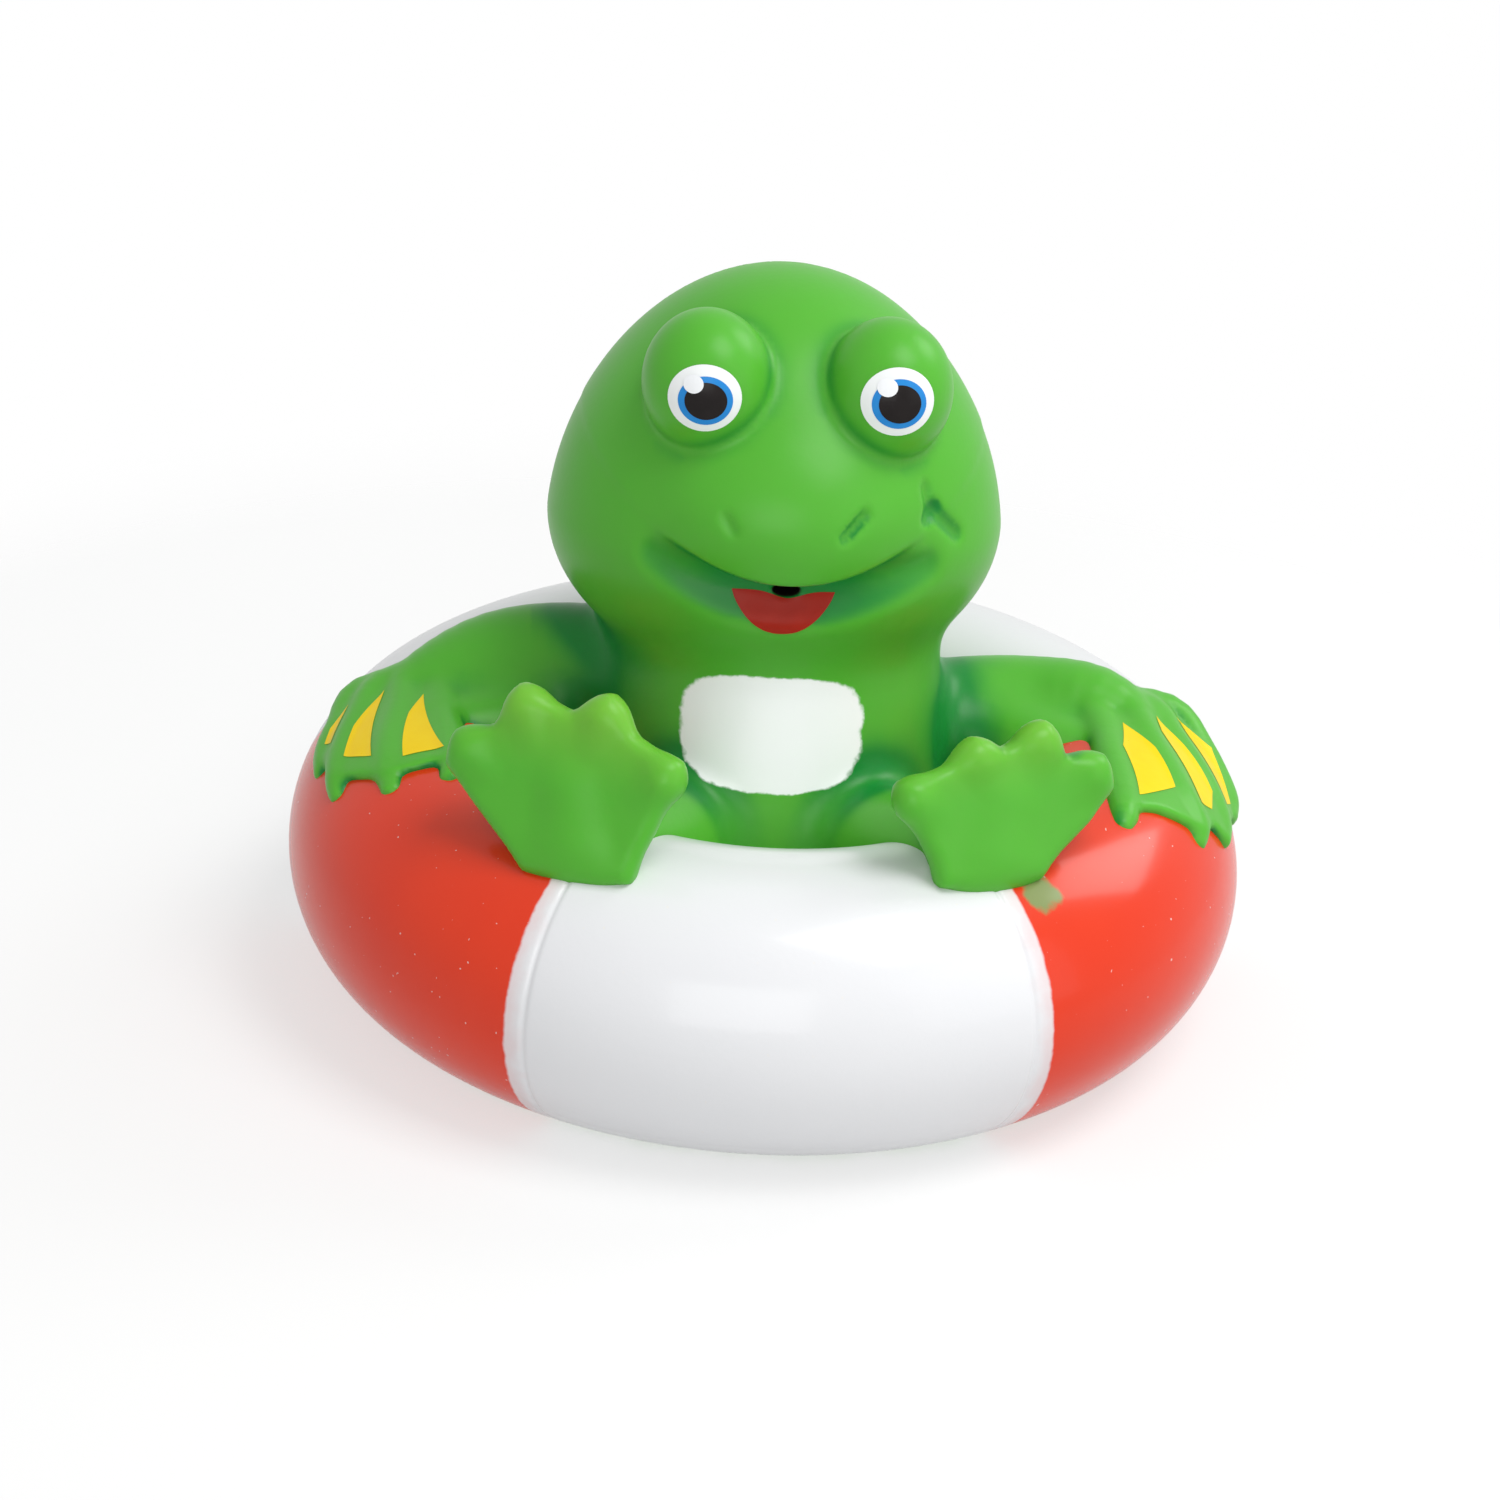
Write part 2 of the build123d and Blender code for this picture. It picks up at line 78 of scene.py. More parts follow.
camera = bpy.data.objects.new("camera", bpy.data.cameras.new("camera"))
bpy.context.scene.collection.objects.link(camera)
camera.data.lens = 115.0
camera.data.sensor_width = 36.0
camera.data.clip_start = 0.01
camera_matrix = np.eye(4)
camera_matrix[:3, :3] = np.column_stack([view_right, view_up, view_back])
camera_matrix[:3, 3] = eye_point
camera.matrix_world = Matrix(camera_matrix.tolist())
bpy.context.scene.camera = camera
bpy.context.scene.view_settings.view_transform = "Standard"


def softbox(name, place, size, watts):
    """A square area lamp that faces the float."""
    lamp = bpy.data.objects.new(name, bpy.data.lights.new(name, "AREA"))
    bpy.context.scene.collection.objects.link(lamp)
    lamp.data.size = size
    lamp.data.energy = watts
    lamp.location = place
    toward = Vector(look_point - np.array(place))
    lamp.rotation_euler = toward.to_track_quat("-Z", "Y").to_euler()


softbox("key_softbox", (0.30, -0.20, 0.78), 0.42, 3.6)
softbox("front_softbox", (-0.10, -0.85, 0.34), 0.50, 2.1)
softbox("fill_softbox", (0.60, -0.45, 0.30), 0.60, 0.8)
softbox("rear_softbox", (0.58, 0.32, 0.52), 0.35, 1.7)


class Wire:
    """A value or colour inside a material. Arithmetic on it adds Math nodes."""

    def __init__(self, finish, socket):
        self.finish = finish
        self.socket = socket

    def math(self, operation, *others):
        sockets = dict(enumerate((self, *others)))
        return self.finish.node("ShaderNodeMath", {"operation": operation}, sockets)

    def __add__(self, other):
        return self.math("ADD", other)

    def __sub__(self, other):
        return self.math("SUBTRACT", other)

    def __mul__(self, other):
        return self.math("MULTIPLY", other)

    def __truediv__(self, other):
        return self.math("DIVIDE", other)

    def __rsub__(self, other):
        return (self * -1.0) + other

    def maximum(self, other):
        return self.math("MAXIMUM", other)

    def step(self, low, high):
        """0 below low and 1 above high, smooth between."""
        settings = {"interpolation_type": "SMOOTHSTEP"}
        return self.finish.node("ShaderNodeMapRange", settings, {0: self, 1: low, 2: high})


class Finish:
    """The nodes of one material, or of the world, while they are being added."""

    def __init__(self, name, owner=None):
        self.owner = owner or bpy.data.materials.new(name)
        self.owner.use_nodes = True
        self.tree = self.owner.node_tree
        self.tree.nodes.clear()

    def node(self, kind, settings=None, inputs=None, output=0):
        """Adds a node: its settings first, then the values or links of its sockets."""
        made = self.tree.nodes.new(kind)
        for name, value in (settings or {}).items():
            setattr(made, name, value)
        for name, value in (inputs or {}).items():
            if isinstance(value, Wire):
                self.tree.links.new(value.socket, made.inputs[name])
            else:
                made.inputs[name].default_value = value
        return Wire(self, made.outputs[output])

    def place(self):
        return self.node("ShaderNodeTexCoord", output="Object")

    def along(self, vector):
        """The three parts of a vector, in metres when it is a place."""
        split = self.node("ShaderNodeSeparateXYZ", None, {0: vector}).socket.node
        return [Wire(self, part) for part in split.outputs]

    def noise(self, scale, detail=2.0, roughness=0.5):
        sockets = {"Vector": self.place(), "Scale": scale, "Detail": detail, "Roughness": roughness}
        return self.node("ShaderNodeTexNoise", None, sockets)

    def ray(self, kind):
        """1 for rays of one kind and 0 for all others."""
        return self.node("ShaderNodeLightPath", output=f"Is {kind} Ray")

    def seen(self):
        """1 for what the camera sees, whether straight, mirrored or through something clear."""
        return self.ray("Camera").maximum(self.ray("Glossy")).maximum(self.ray("Transmission"))

    def mixed(self, share, first, second):
        settings = {"data_type": "RGBA"}
        return self.node("ShaderNodeMix", settings, {0: share, 6: first, 7: second}, output=2)

    def bump(self, height, depth, strength=1.0):
        sockets = {"Height": height, "Distance": depth, "Strength": strength}
        return self.node("ShaderNodeBump", None, sockets)

    def principled(self, sockets):
        return self.node("ShaderNodeBsdfPrincipled", None, sockets)

    def surface(self, shader, end="ShaderNodeOutputMaterial"):
        """Ends the nodes with the shader that they lead to."""
        self.tree.links.new(shader.socket, self.tree.nodes.new(end).inputs["Surface"])
        return self.owner


bounce_lost = 0.5  # share of the light between pieces that the floor doesn't throw back


def studio_floor(name, shaded_reach, veil):
    """Matt white that holds the shadow. To the camera it is a thin veil near the float and clear
    further out, with the white of the studio behind it, and from below it is clear everywhere."""
    finish = Finish(name)
    x, y, _ = finish.along(finish.place())
    reach = (x * x + y * y).math("SQRT")
    matt = finish.node("ShaderNodeBsdfDiffuse", None, {"Color": (0.9, 0.9, 0.9, 1.0)})
    nothing = finish.node("ShaderNodeBsdfTransparent")
    below = finish.node("ShaderNodeNewGeometry", output="Backfacing")
    faded = reach.step(shaded_reach * 0.55, shaded_reach).maximum(1.0 - veil).maximum(below)
    share = (faded * finish.seen()).maximum(finish.ray("Diffuse") * bounce_lost)
    return finish.surface(finish.node("ShaderNodeMixShader", None, {0: share, 1: matt, 2: nothing}))


def plain_mesh(name, points, faces):
    mesh = bpy.data.meshes.new(name)
    mesh.from_pydata([tuple(p) for p in points], [], faces)
    piece = bpy.data.objects.new(name, mesh)
    bpy.context.scene.collection.objects.link(piece)
    return piece


def grid_faces(rows, columns, rows_close, columns_close, start=0):
    """Four-cornered faces between the points of a grid, which may close on itself either way."""
    faces = []
    for row in range(rows if rows_close else rows - 1):
        here, above = start + row * columns, start + (row + 1) % rows * columns
        for column in range(columns if columns_close else columns - 1):
            beside = (column + 1) % columns
            faces.append((here + column, here + beside, above + beside, above + column))
    return faces


floor_reach = 3.0
floor_level = -0.05 * mm  # just clear of the ring's flat underside
floor_corners = ((-1, -1), (1, -1), (1, 1), (-1, 1))
floor_points = [(x * floor_reach, y * floor_reach, floor_level) for x, y in floor_corners]
floor = plain_mesh("floor", floor_points, [(0, 1, 2, 3)])
floor.data.materials.append(studio_floor("studio_floor", 0.16, 0.4))

# soft light from all round for matt surfaces, and white for what is seen or mirrored
sky_white = (1.0, 1.0, 1.0, 1.0)
sky_light = 0.45  # strength as a light
sky_mirrored, sky_shown = 0.8, 1.0  # strength in reflections, and behind the float
world = bpy.data.worlds.new("studio")
bpy.context.scene.world = world
sky = Finish("studio", world)
shown_strength = sky.ray("Camera") * (sky_shown - sky_mirrored) + sky_mirrored
sky_lit = sky.node("ShaderNodeBackground", None, {"Color": sky_white, "Strength": sky_light})
sky_seen = sky.node("ShaderNodeBackground", None, {"Color": sky_white, "Strength": shown_strength})
sky_mix = {0: sky.seen(), 1: sky_lit, 2: sky_seen}
sky.surface(sky.node("ShaderNodeMixShader", None, sky_mix), "ShaderNodeOutputWorld")

# ------------------------------------------------------------------ life ring
# The ring is the hollow lower half of the one soft vinyl moulding, flattened where it stands. Its
# panels are sprayed through masks: white in front and behind, red at the sides; the underside is
# bare green vinyl.

ring_tube = 15.2
ring_radius = figure_high[0] / mm - ring_tube
ring_height = 14.6
panel_edge, rear_edge = 32.6, 98.0  # degrees from the front to the borders of the red
panel_line, panel_line_rear = 30.2, 100.4  # fine lines moulded just inside the white panels
line_depth, line_width = 0.16, 0.32
line_stretch = 1.35  # how much longer a degree is at the ring's outer side than at its middle

# finer steps beside the moulded lines
azimuth_steps = set(np.round(np.arange(0.0, 360.0, 1.25), 3))
for line in (panel_line, panel_line_rear):
    for offset in np.arange(-1.2, 1.21, 0.15):
        azimuth_steps.add(round(line + offset, 3))
        azimuth_steps.add(round(360.0 - line - offset, 3))
ring_azimuths = np.radians(np.array(sorted(azimuth_steps)))
ring_sections = np.radians(np.arange(0.0, 360.0, 3.0))


def on_ring(azimuth, section, proud=0.0):
    """Points of the ring's tube: azimuth from the front, section angle up from its outer side."""
    reach = ring_radius + (ring_tube + proud) * np.cos(section)
    rise = ring_height + (ring_tube + proud) * np.sin(section)
    return np.stack([reach * np.sin(azimuth), -reach * np.cos(azimuth), rise], axis=-1)


azimuth_grid, section_grid = np.meshgrid(ring_azimuths, ring_sections, indexing="ij")
from_front = np.degrees(np.abs(np.arctan2(np.sin(azimuth_grid), np.cos(azimuth_grid))))
line_gap = np.minimum(np.abs(from_front - panel_line), np.abs(from_front - panel_line_rear))
groove = np.exp(-((np.radians(line_gap) * ring_radius * line_stretch / line_width) ** 2))
ring_points = on_ring(azimuth_grid, section_grid, proud=-line_depth * groove).reshape(-1, 3)
ring_points[:, 2] = np.maximum(ring_points[:, 2], 0.0)
ring_faces = grid_faces(len(ring_azimuths), len(ring_sections), True, True)
life_ring = plain_mesh("life_ring", ring_points * mm, ring_faces)
life_ring.data.shade_smooth()

bare_green = (0.092, 0.43, 0.034, 1.0)
paint_white = (0.76, 0.77, 0.79, 1.0)
paint_red = (0.70, 0.030, 0.005, 1.0)


def vinyl(finish, colour, bump):
    """Bare, slightly translucent PVC."""
    sockets = {
        "Base Color": colour,
        "Roughness": 0.34,
        "Subsurface Weight": 0.45,
        "Subsurface Radius": (0.35, 1.0, 0.25),
        "Subsurface Scale": 2.2 * mm,
        "Specular IOR Level": 0.22,
        "Normal": bump,
    }
    return finish.principled(sockets)


def vinyl_paint(finish, colour, bump):
    """Flexible spray paint on the vinyl, opaque and a little glossier."""
    sockets = {
        "Base Color": colour,
        "Roughness": 0.24,
        "Specular IOR Level": 0.22,
        "Coat Weight": 0.25,
        "Coat Roughness": 0.1,
        "Normal": bump,
    }
    return finish.principled(sockets)


ring_finish = Finish("ring_vinyl_and_paint")
x, y, z = [part / mm for part in ring_finish.along(ring_finish.place())]
degrees = 180.0 / math.pi
signed_angle = x.math("ARCTAN2", y * -1.0) * degrees
from_front_angle = signed_angle.math("ABSOLUTE")
reach = (x * x + y * y).math("SQRT")
section_angle = (z - ring_height).math("ARCTAN2", reach - ring_radius) * degrees
fuzz = (ring_finish.noise(900.0, 3.0) - 0.5) * 0.5
front_white = 1.0 - (from_front_angle + fuzz).step(panel_edge - 0.25, panel_edge + 0.25)
rear_white = (from_front_angle + fuzz).step(rear_edge - 0.4, rear_edge + 0.4)
white_share = front_white.maximum(rear_white)
under_edge = section_angle + (ring_finish.noise(260.0, 4.0) - 0.5) * 16.0
painted = under_edge.step(-74.0, -62.0)
cloud = ring_finish.noise(60.0, 3.0)
red_tone = ring_finish.mixed(cloud, paint_red, (0.76, 0.045, 0.008, 1.0))
white_tone = ring_finish.mixed(cloud, paint_white, (0.79, 0.795, 0.81, 1.0))
paint_tone = ring_finish.mixed(white_share, red_tone, white_tone)

# red overspray on the front panel beside its borders, dust, and a patch of green on the red by the
# right foot
overspray_reach = 2.6
spray_edge = from_front_angle + (ring_finish.noise(420.0, 3.0) - 0.5) * 3.0
halo = spray_edge.step(panel_edge - overspray_reach, panel_edge)
paint_tone = ring_finish.mixed(halo * front_white * 0.16, paint_tone, paint_red)
dust = ring_finish.noise(2300.0, 0.0).step(0.84, 0.88) * 0.6
paint_tone = ring_finish.mixed(dust, paint_tone, (0.80, 0.78, 0.74, 1.0))
patch_azimuth, patch_section, patch_width, patch_height = 36.5, 58.0, 3.0, 9.0
patch_aside = (signed_angle - patch_azimuth) / patch_width
patch_above = (section_angle - patch_section) / patch_height
patch_ragged = (ring_finish.noise(500.0, 4.0) - 0.5) * 2.2
patch_rim = patch_aside * patch_aside + patch_above * patch_above + patch_ragged
green_patch = (1.0 - patch_rim.step(0.35, 1.1)) * 0.85
paint_tone = ring_finish.mixed(green_patch, paint_tone, (0.13, 0.32, 0.11, 1.0))
skin_bump = ring_finish.bump(ring_finish.noise(1400.0, 2.0), 0.03 * mm, 0.35)
ring_layers = {
    0: painted,
    1: vinyl(ring_finish, bare_green, skin_bump),
    2: vinyl_paint(ring_finish, paint_tone, skin_bump),
}
ring_shader = ring_finish.node("ShaderNodeMixShader", None, ring_layers)
life_ring.data.materials.append(ring_finish.surface(ring_shader))
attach(life_ring, "float")
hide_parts("float_figure")

# ------------------------------------------------------------------ frog
# The frog is the upper part of the same moulding. Its lumps are blended in a grid of distances, and
# the surface where the distance is zero becomes one mesh, with a straight well up its middle for the
# thermometer's socket.


upright = np.eye(3)


def across_space(point, start, way):
    """How far a grid's points lie along a way that begins at start."""
    return sum((axis - origin) * part for axis, origin, part in zip(point, start, way))


def soft_minimum(first, second, blend):
    """The smaller of two distances, rounded where they are within blend of each other."""
    overlap = np.maximum(blend - np.abs(first - second), 0.0) / blend
    return np.minimum(first, second) - overlap * overlap * blend / 4


def smoothed(values):
    """Places or sizes along a stroke, with the corners between them rounded."""
    if len(values) < 3:
        return values
    padded = np.concatenate([2 * values[:1] - values[1:2], values, 2 * values[-1:] - values[-2:-1]])
    rounded = []
    for before, start, end, after in zip(padded, padded[1:], padded[2:], padded[3:]):
        for share in (0.0, 0.25, 0.5, 0.75):
            pull = (end - before) * share + (2 * before - 5 * start + 4 * end - after) * share**2
            rounded.append(start + 0.5 * (pull + (3 * start - before - 3 * end + after) * share**3))
    return np.array([*rounded, values[-1]])


class Clay:
    """Distances to a surface on a grid, negative inside it."""

    far = 30.0  # further than any blend reaches

    def __init__(self, low, high, cell):
        self.low = np.array(low)
        self.cell = cell
        self.axes = [np.arange(a, b, cell) for a, b in zip(low, high)]
        self.values = np.full([len(axis) for axis in self.axes], self.far)

    def window(self, low, high):
        """The grid points inside a box, as slices and as coordinates."""
        spans = [slice(*np.searchsorted(axis, ends)) for axis, ends in zip(self.axes, zip(low, high))]
        parts = [axis[span] for axis, span in zip(self.axes, spans)]
        return tuple(spans), np.meshgrid(*parts, indexing="ij", sparse=True)

    def add(self, shape, low, high, blend):
        spans, points = self.window(low, high)
        self.values[spans] = soft_minimum(self.values[spans], shape(*points), blend)

    def cut(self, shape, low, high, blend):
        spans, points = self.window(low, high)
        self.values[spans] = -soft_minimum(-self.values[spans], shape(*points), blend)

    def limb(self, path, radii, blend, action=None):
        """Adds or cuts a rounded stroke whose radius changes along its path."""
        path, radii = smoothed(np.array(path, float)), smoothed(np.array(radii, float))
        margin = radii.max() + blend + 2 * self.cell

        def stroke(x, y, z):
            nearest = self.far
            for start, end, first, last in zip(path, path[1:], radii, radii[1:]):
                along = end - start
                share = across_space((x, y, z), start, along) / (along @ along)
                share = np.clip(share, 0.0, 1.0)
                aside = [axis - start[i] - share * along[i] for i, axis in enumerate((x, y, z))]
                gap = np.sqrt(aside[0] ** 2 + aside[1] ** 2 + aside[2] ** 2)
                nearest = np.minimum(nearest, gap - (first + (last - first) * share))
            return nearest

        (action or self.add)(stroke, path.min(axis=0) - margin, path.max(axis=0) + margin, blend)

    def egg(self, centre, radii, blend):
        """Adds an upright ellipsoid."""
        radii = np.array(radii, float)
        margin = radii.max() + blend + 2 * self.cell
        low, high = centre - margin, centre + margin
        self.add(lambda x, y, z: oval(upright, centre, radii, x, y, z), low, high, blend)

    def sample(self, points):
        """Distances at any points, between the grid's own."""
        place = (points - self.low) / self.cell
        corner = np.clip(np.floor(place).astype(int), 0, np.array(self.values.shape) - 2)
        part = place - corner
        total = 0.0
        for step in np.ndindex(2, 2, 2):
            weight = np.prod(np.where(np.array(step), part, 1 - part), axis=-1)
            total = total + weight * self.values[tuple((corner + step).T)]
        return total

    def slope(self, points):
        """Which way the distance grows, and how fast."""
        parts = []
        for axis in range(3):
            step = np.zeros(3)
            step[axis] = 0.6 * self.cell
            parts.append((self.sample(points + step) - self.sample(points - step)) / (1.2 * self.cell))
        return np.stack(parts, axis=-1)

    def settle(self, points, height=0.0):
        """Moves points onto the surface, or height above it."""
        for _ in range(3):
            slope = self.slope(points)
            steep = np.maximum((slope**2).sum(axis=-1), 0.05)
            points = points - slope * ((self.sample(points) - height) / steep)[:, None]
        return points

    def struck(self, point, direction):
        """Where a line through a point, coming from far along direction, first meets the surface."""
        direction = np.array(direction, float) / np.linalg.norm(direction)
        line = np.array(point, float) + np.outer(np.arange(25.0, -25.0, -0.05), direction)
        return line[np.argmax(self.sample(line) < 0)]

    def skin(self):
        """The surface as points and four-cornered faces, evened out."""
        inside = self.values < 0
        shape = np.array(self.values.shape)
        number = np.arange(shape.prod()).reshape(shape)
        total = np.zeros((shape.prod(), 3))
        count = np.zeros(shape.prod())
        faces = []
        for axis in range(3):
            others = [(axis + 1) % 3, (axis + 2) % 3]
            ahead = np.roll(inside, -1, axis)
            crossed = np.argwhere(inside != ahead)
            crossed = crossed[(crossed > 0).all(axis=1) & (crossed < shape - 1).all(axis=1)]
            here = self.values[tuple(crossed.T)]
            step = np.zeros(3, int)
            step[axis] = 1
            there = self.values[tuple((crossed + step).T)]
            place = crossed + np.outer(here / (here - there), step)
            ring = []
            for back_first, back_second in ((0, 0), (1, 0), (1, 1), (0, 1)):
                cell_place = crossed.copy()
                cell_place[:, others[0]] -= back_first
                cell_place[:, others[1]] -= back_second
                cells = number[tuple(cell_place.T)]
                ring.append(cells)
                count += np.bincount(cells, minlength=len(count))
                for part in range(3):
                    total[:, part] += np.bincount(cells, place[:, part], len(count))
            quads = np.stack(ring, axis=1)
            outward = inside[tuple(crossed.T)]
            faces.append(quads[outward])
            faces.append(quads[~outward][:, ::-1])
        faces = np.concatenate(faces)
        used = np.unique(faces)
        renumber = np.zeros(len(count), int)
        renumber[used] = np.arange(len(used))
        faces = renumber[faces]
        points = self.low + self.cell * total[used] / count[used][:, None]
        edges = np.concatenate([faces[:, [a, (a + 1) % 4]] for a in range(4)])
        links = np.bincount(edges[:, 0], minlength=len(points)).astype(float)
        for _ in range(5):
            middle = np.stack(
                [np.bincount(edges[:, 0], points[edges[:, 1], part], len(points)) for part in range(3)],
                axis=1,
            )
            points = points + 0.6 * (middle / links[:, None] - points)
            points = self.settle(points)
        return points, faces


def oval(turn, centre, radii, x, y, z):
    """Distance to an ellipsoid turned by a matrix, near enough for blending."""
    own = [across_space((x, y, z), centre, way) for way in turn.T]
    scaled = np.sqrt(sum((part / radius) ** 2 for part, radius in zip(own, radii)))
    steep = np.sqrt(sum((part / radius**2) ** 2 for part, radius in zip(own, radii)))
    return np.where(steep > 1e-6, scaled * (scaled - 1.0) / np.maximum(steep, 1e-6), -radii.min())


body_lean = math.radians(8.0)
body_seat_y = -1.6
torso_top = 48.0
torso_heights = (8.0, 14.0, 25.0, 36.0, 46.0)
torso_radii = (20.4, 20.0, 18.4, 17.4, 17.2)
cheek_height = 50.9
head_y = body_seat_y + cheek_height * math.sin(body_lean)
head_z = cheek_height * math.cos(body_lean)
lean_turn = np.array(
    [
        [1.0, 0.0, 0.0],
        [0.0, math.cos(body_lean), math.sin(body_lean)],
        [0.0, -math.sin(body_lean), math.cos(body_lean)],
    ]
)
head_centre = np.array([-0.7, head_y, head_z])
head_width, head_depth, crown_rise, chin_drop = 23.5, 22.2, 25.8, 17.2
crown_narrowing = 0.085  # share of its width that the head loses by the crown

frog_clay = Clay((-52.5, -53.0, 8.0), (52.5, 31.5, 78.0), 0.5)


def torso(x, y, z):
    along = (y - body_seat_y) * math.sin(body_lean) + z * math.cos(body_lean)
    across = (y - body_seat_y) * math.cos(body_lean) - z * math.sin(body_lean)
    wide = np.interp(along, torso_heights, torso_radii)
    return np.maximum(np.sqrt(x * x + across * across) - wide, along - torso_top)


def skull(x, y, z):
    """Round cheeks below, a narrower crown above."""
    along = (y - head_y) * math.sin(body_lean) + (z - head_z) * math.cos(body_lean)
    narrow = 1.0 / (1.0 - crown_narrowing * np.clip(along / crown_rise, 0.0, 1.0))
    x = head_centre[0] + (x - head_centre[0]) * narrow
    above = oval(lean_turn, head_centre, np.array([head_width, head_depth, crown_rise]), x, y, z)
    below = oval(lean_turn, head_centre, np.array([head_width, head_depth, chin_drop]), x, y, z)
    return np.where(along > 0, above, below)


smile_middle, smile_curve = 51.7, 0.0224


def smile_height(x):
    """Height of the mouth's line, lowest in its middle."""
    return smile_middle + smile_curve * x * x


lip_centre, lip_radii, lip_half_width = np.array([-0.3, -4.6, 56.6]), np.array([15.2, 13.0, 9.0]), 17.0


def snout(x, y, z):
    """The upper lip: a broad lobe cut off below by the curve of the smile."""
    lobe = oval(upright, lip_centre, lip_radii, x, y, z)
    fade = np.clip(1.0 - (x / lip_half_width) ** 2, 0.02, 1.0)
    lobe = soft_minimum(lobe, skull(x, y, z) + 0.15, 5.0 * fade)
    return -soft_minimum(-lobe, z - smile_height(x), 0.7)


frog_clay.add(torso, (-24, -26, 8), (24, 26, 52), 0.1)
frog_clay.add(skull, (-27, -21, 30), (27, 31.5, 78), 2.2)
toward_camera = back
valley_reach, valley_points = 14.0, 15
smile_valley = []
for x in np.linspace(-valley_reach, valley_reach, valley_points):
    below_lip = frog_clay.struck((x, -16, smile_height(x) - 1.7), toward_camera)
    smile_valley.append(below_lip + (0, -0.7, 0))
valley_radii = 3.1 - 2.2 * (np.linspace(-1, 1, valley_points) ** 2)
frog_clay.limb(smile_valley, valley_radii, 2.4, frog_clay.cut)
frog_clay.add(snout, (-25, -22, 45), (25, 12, 77), 0.8)
eye_places = {-1: np.array([-9.0, -6.9, 69.4]), 1: np.array([9.2, -6.5, 69.0])}
for eye_place in eye_places.values():
    frog_clay.egg(eye_place, (6.5, 7.0, 7.3), 1.0)

# the squirt hole, the nostrils and the dimple that only one cheek has
squirt_hole = frog_clay.struck((-0.4, -16.5, 51.2), toward_camera)
hole_width, hole_depth, hole_height = 1.35, 3.5, 0.7
hole_radii = np.array([hole_width, hole_depth, hole_height])
frog_clay.cut(
    lambda x, y, z: oval(upright, squirt_hole, hole_radii, x, y, z),
    squirt_hole - (3, 5, 3),
    squirt_hole + (3, 5, 3),
    0.25,
)
groove_blend = 0.5
# a groove: its path, its radius, and how far its path lies out of the skin
for groove_path, groove_radius, lift in (
    (((-6.8, -15, 58.0), (-5.9, -15.5, 56.7)), 0.45, 0.12),
    (((7.2, -14.7, 58.8), (5.2, -15.7, 56.5)), 0.6, 0.05),
    (((13.7, -10.8, 60.4), (14.4, -10.9, 58.2), (17.3, -9.3, 54.9)), 0.9, 0.55),
    (((13.9, -11.0, 57.0), (14.4, -10.9, 58.2)), 0.9, 0.55),
):
    groove = [frog_clay.struck(point, toward_camera) + lift * toward_camera for point in groove_path]
    frog_clay.limb(groove, np.full(len(groove), groove_radius), groove_blend, frog_clay.cut)

# Arms rest on the ring; the right one and its hand lie lower than the left. A hand is four ridges
# over a thin web, laid out in azimuth and section angle on the ring's tube.
arm_paths = {
    -1: ((13, 4, 31.8), (21, 7.6, 30.6), (28, 8.4, 29.3), (34, 6.6, 27.7), (38.0, 4.2, 26.4)),
    1: ((13, 4, 26.9), (21, 7.6, 26.0), (28, 8.4, 26.2), (34, 6.6, 27.6), (38.7, 4.4, 26.7)),
}
arm_radii = (6.6, 7.0, 6.8, 5.6, 3.8)
palm_points = ((23, 3.2, 26.6), (28.5, 0.4, 26.4), (34.5, -2.0, 26.4))
palm_radii = (4.6, 4.8, 4.2)
right_palm_drop = 0.6
wrist_radius, knuckle_radius, finger_radii, fingertip_radius = 3.6, 2.4, (2.0, 1.8), 1.3
finger_sunk, last_finger_sunk = -0.6, -0.1  # how far a finger's middle lies over the ring's skin
fingers = {
    -1: (
        ((98, 90), (85, 92), (74, 91), (66, 86), (63.0, 81)),
        ((98, 77), (88.5, 75.5), (79, 69), (72, 64), (67.4, 60)),
        ((98, 66), (90, 57.5), (83, 49.5), (78, 44.5), (75.2, 41.5)),
        ((99, 56), (92, 48), (87.5, 41.5), (84, 37.5)),
    ),
    1: (
        ((97, 92), (86, 90), (77, 86.5), (63.5, 72.5), (59.8, 68)),
        ((97, 77), (87, 71.5), (76, 55.5), (72.5, 45), (70.6, 41)),
        ((99, 66), (93, 59.5), (85.5, 46.5), (81, 35.5), (78, 29.5)),
        ((102, 55), (97, 41), (90, 29), (86.5, 26)),
    ),
}
hand_outlines = {
    -1: (
        *((100, 93), (85, 92), (74, 91), (66, 86), (66.8, 77.5), (69.0, 61), (72.3, 54.6)),
        *((77, 44), (82, 42.2), (85, 38), (92, 48), (101, 56)),
    ),
    1: (
        *((99, 92), (86, 90), (77, 86.5), (62, 71), (66.5, 61.5), (71, 42), (75.0, 38.5)),
        *((77, 27), (81.5, 29.5), (86, 25), (97, 41), (104, 55)),
    ),
}
web_proud, web_rim = 0.85, 0.45


def outline_gap(corners, a, b):
    """Distance in a plane to a closed outline, negative inside it."""
    corners = np.array(corners, float)
    nearest = np.full(np.broadcast(a, b).shape, 1e9)
    inside = np.zeros(nearest.shape, bool)
    for (a0, b0), (a1, b1) in zip(corners, np.roll(corners, -1, axis=0)):
        da, db = a1 - a0, b1 - b0
        share = np.clip(((a - a0) * da + (b - b0) * db) / (da * da + db * db), 0, 1)
        nearest = np.minimum(nearest, (a - a0 - share * da) ** 2 + (b - b0 - share * db) ** 2)
        if abs(db) > 1e-9:
            inside ^= ((b0 > b) != (b1 > b)) & (a < a0 + da * (b - b0) / db)
    return np.where(inside, -1.0, 1.0) * np.sqrt(nearest)


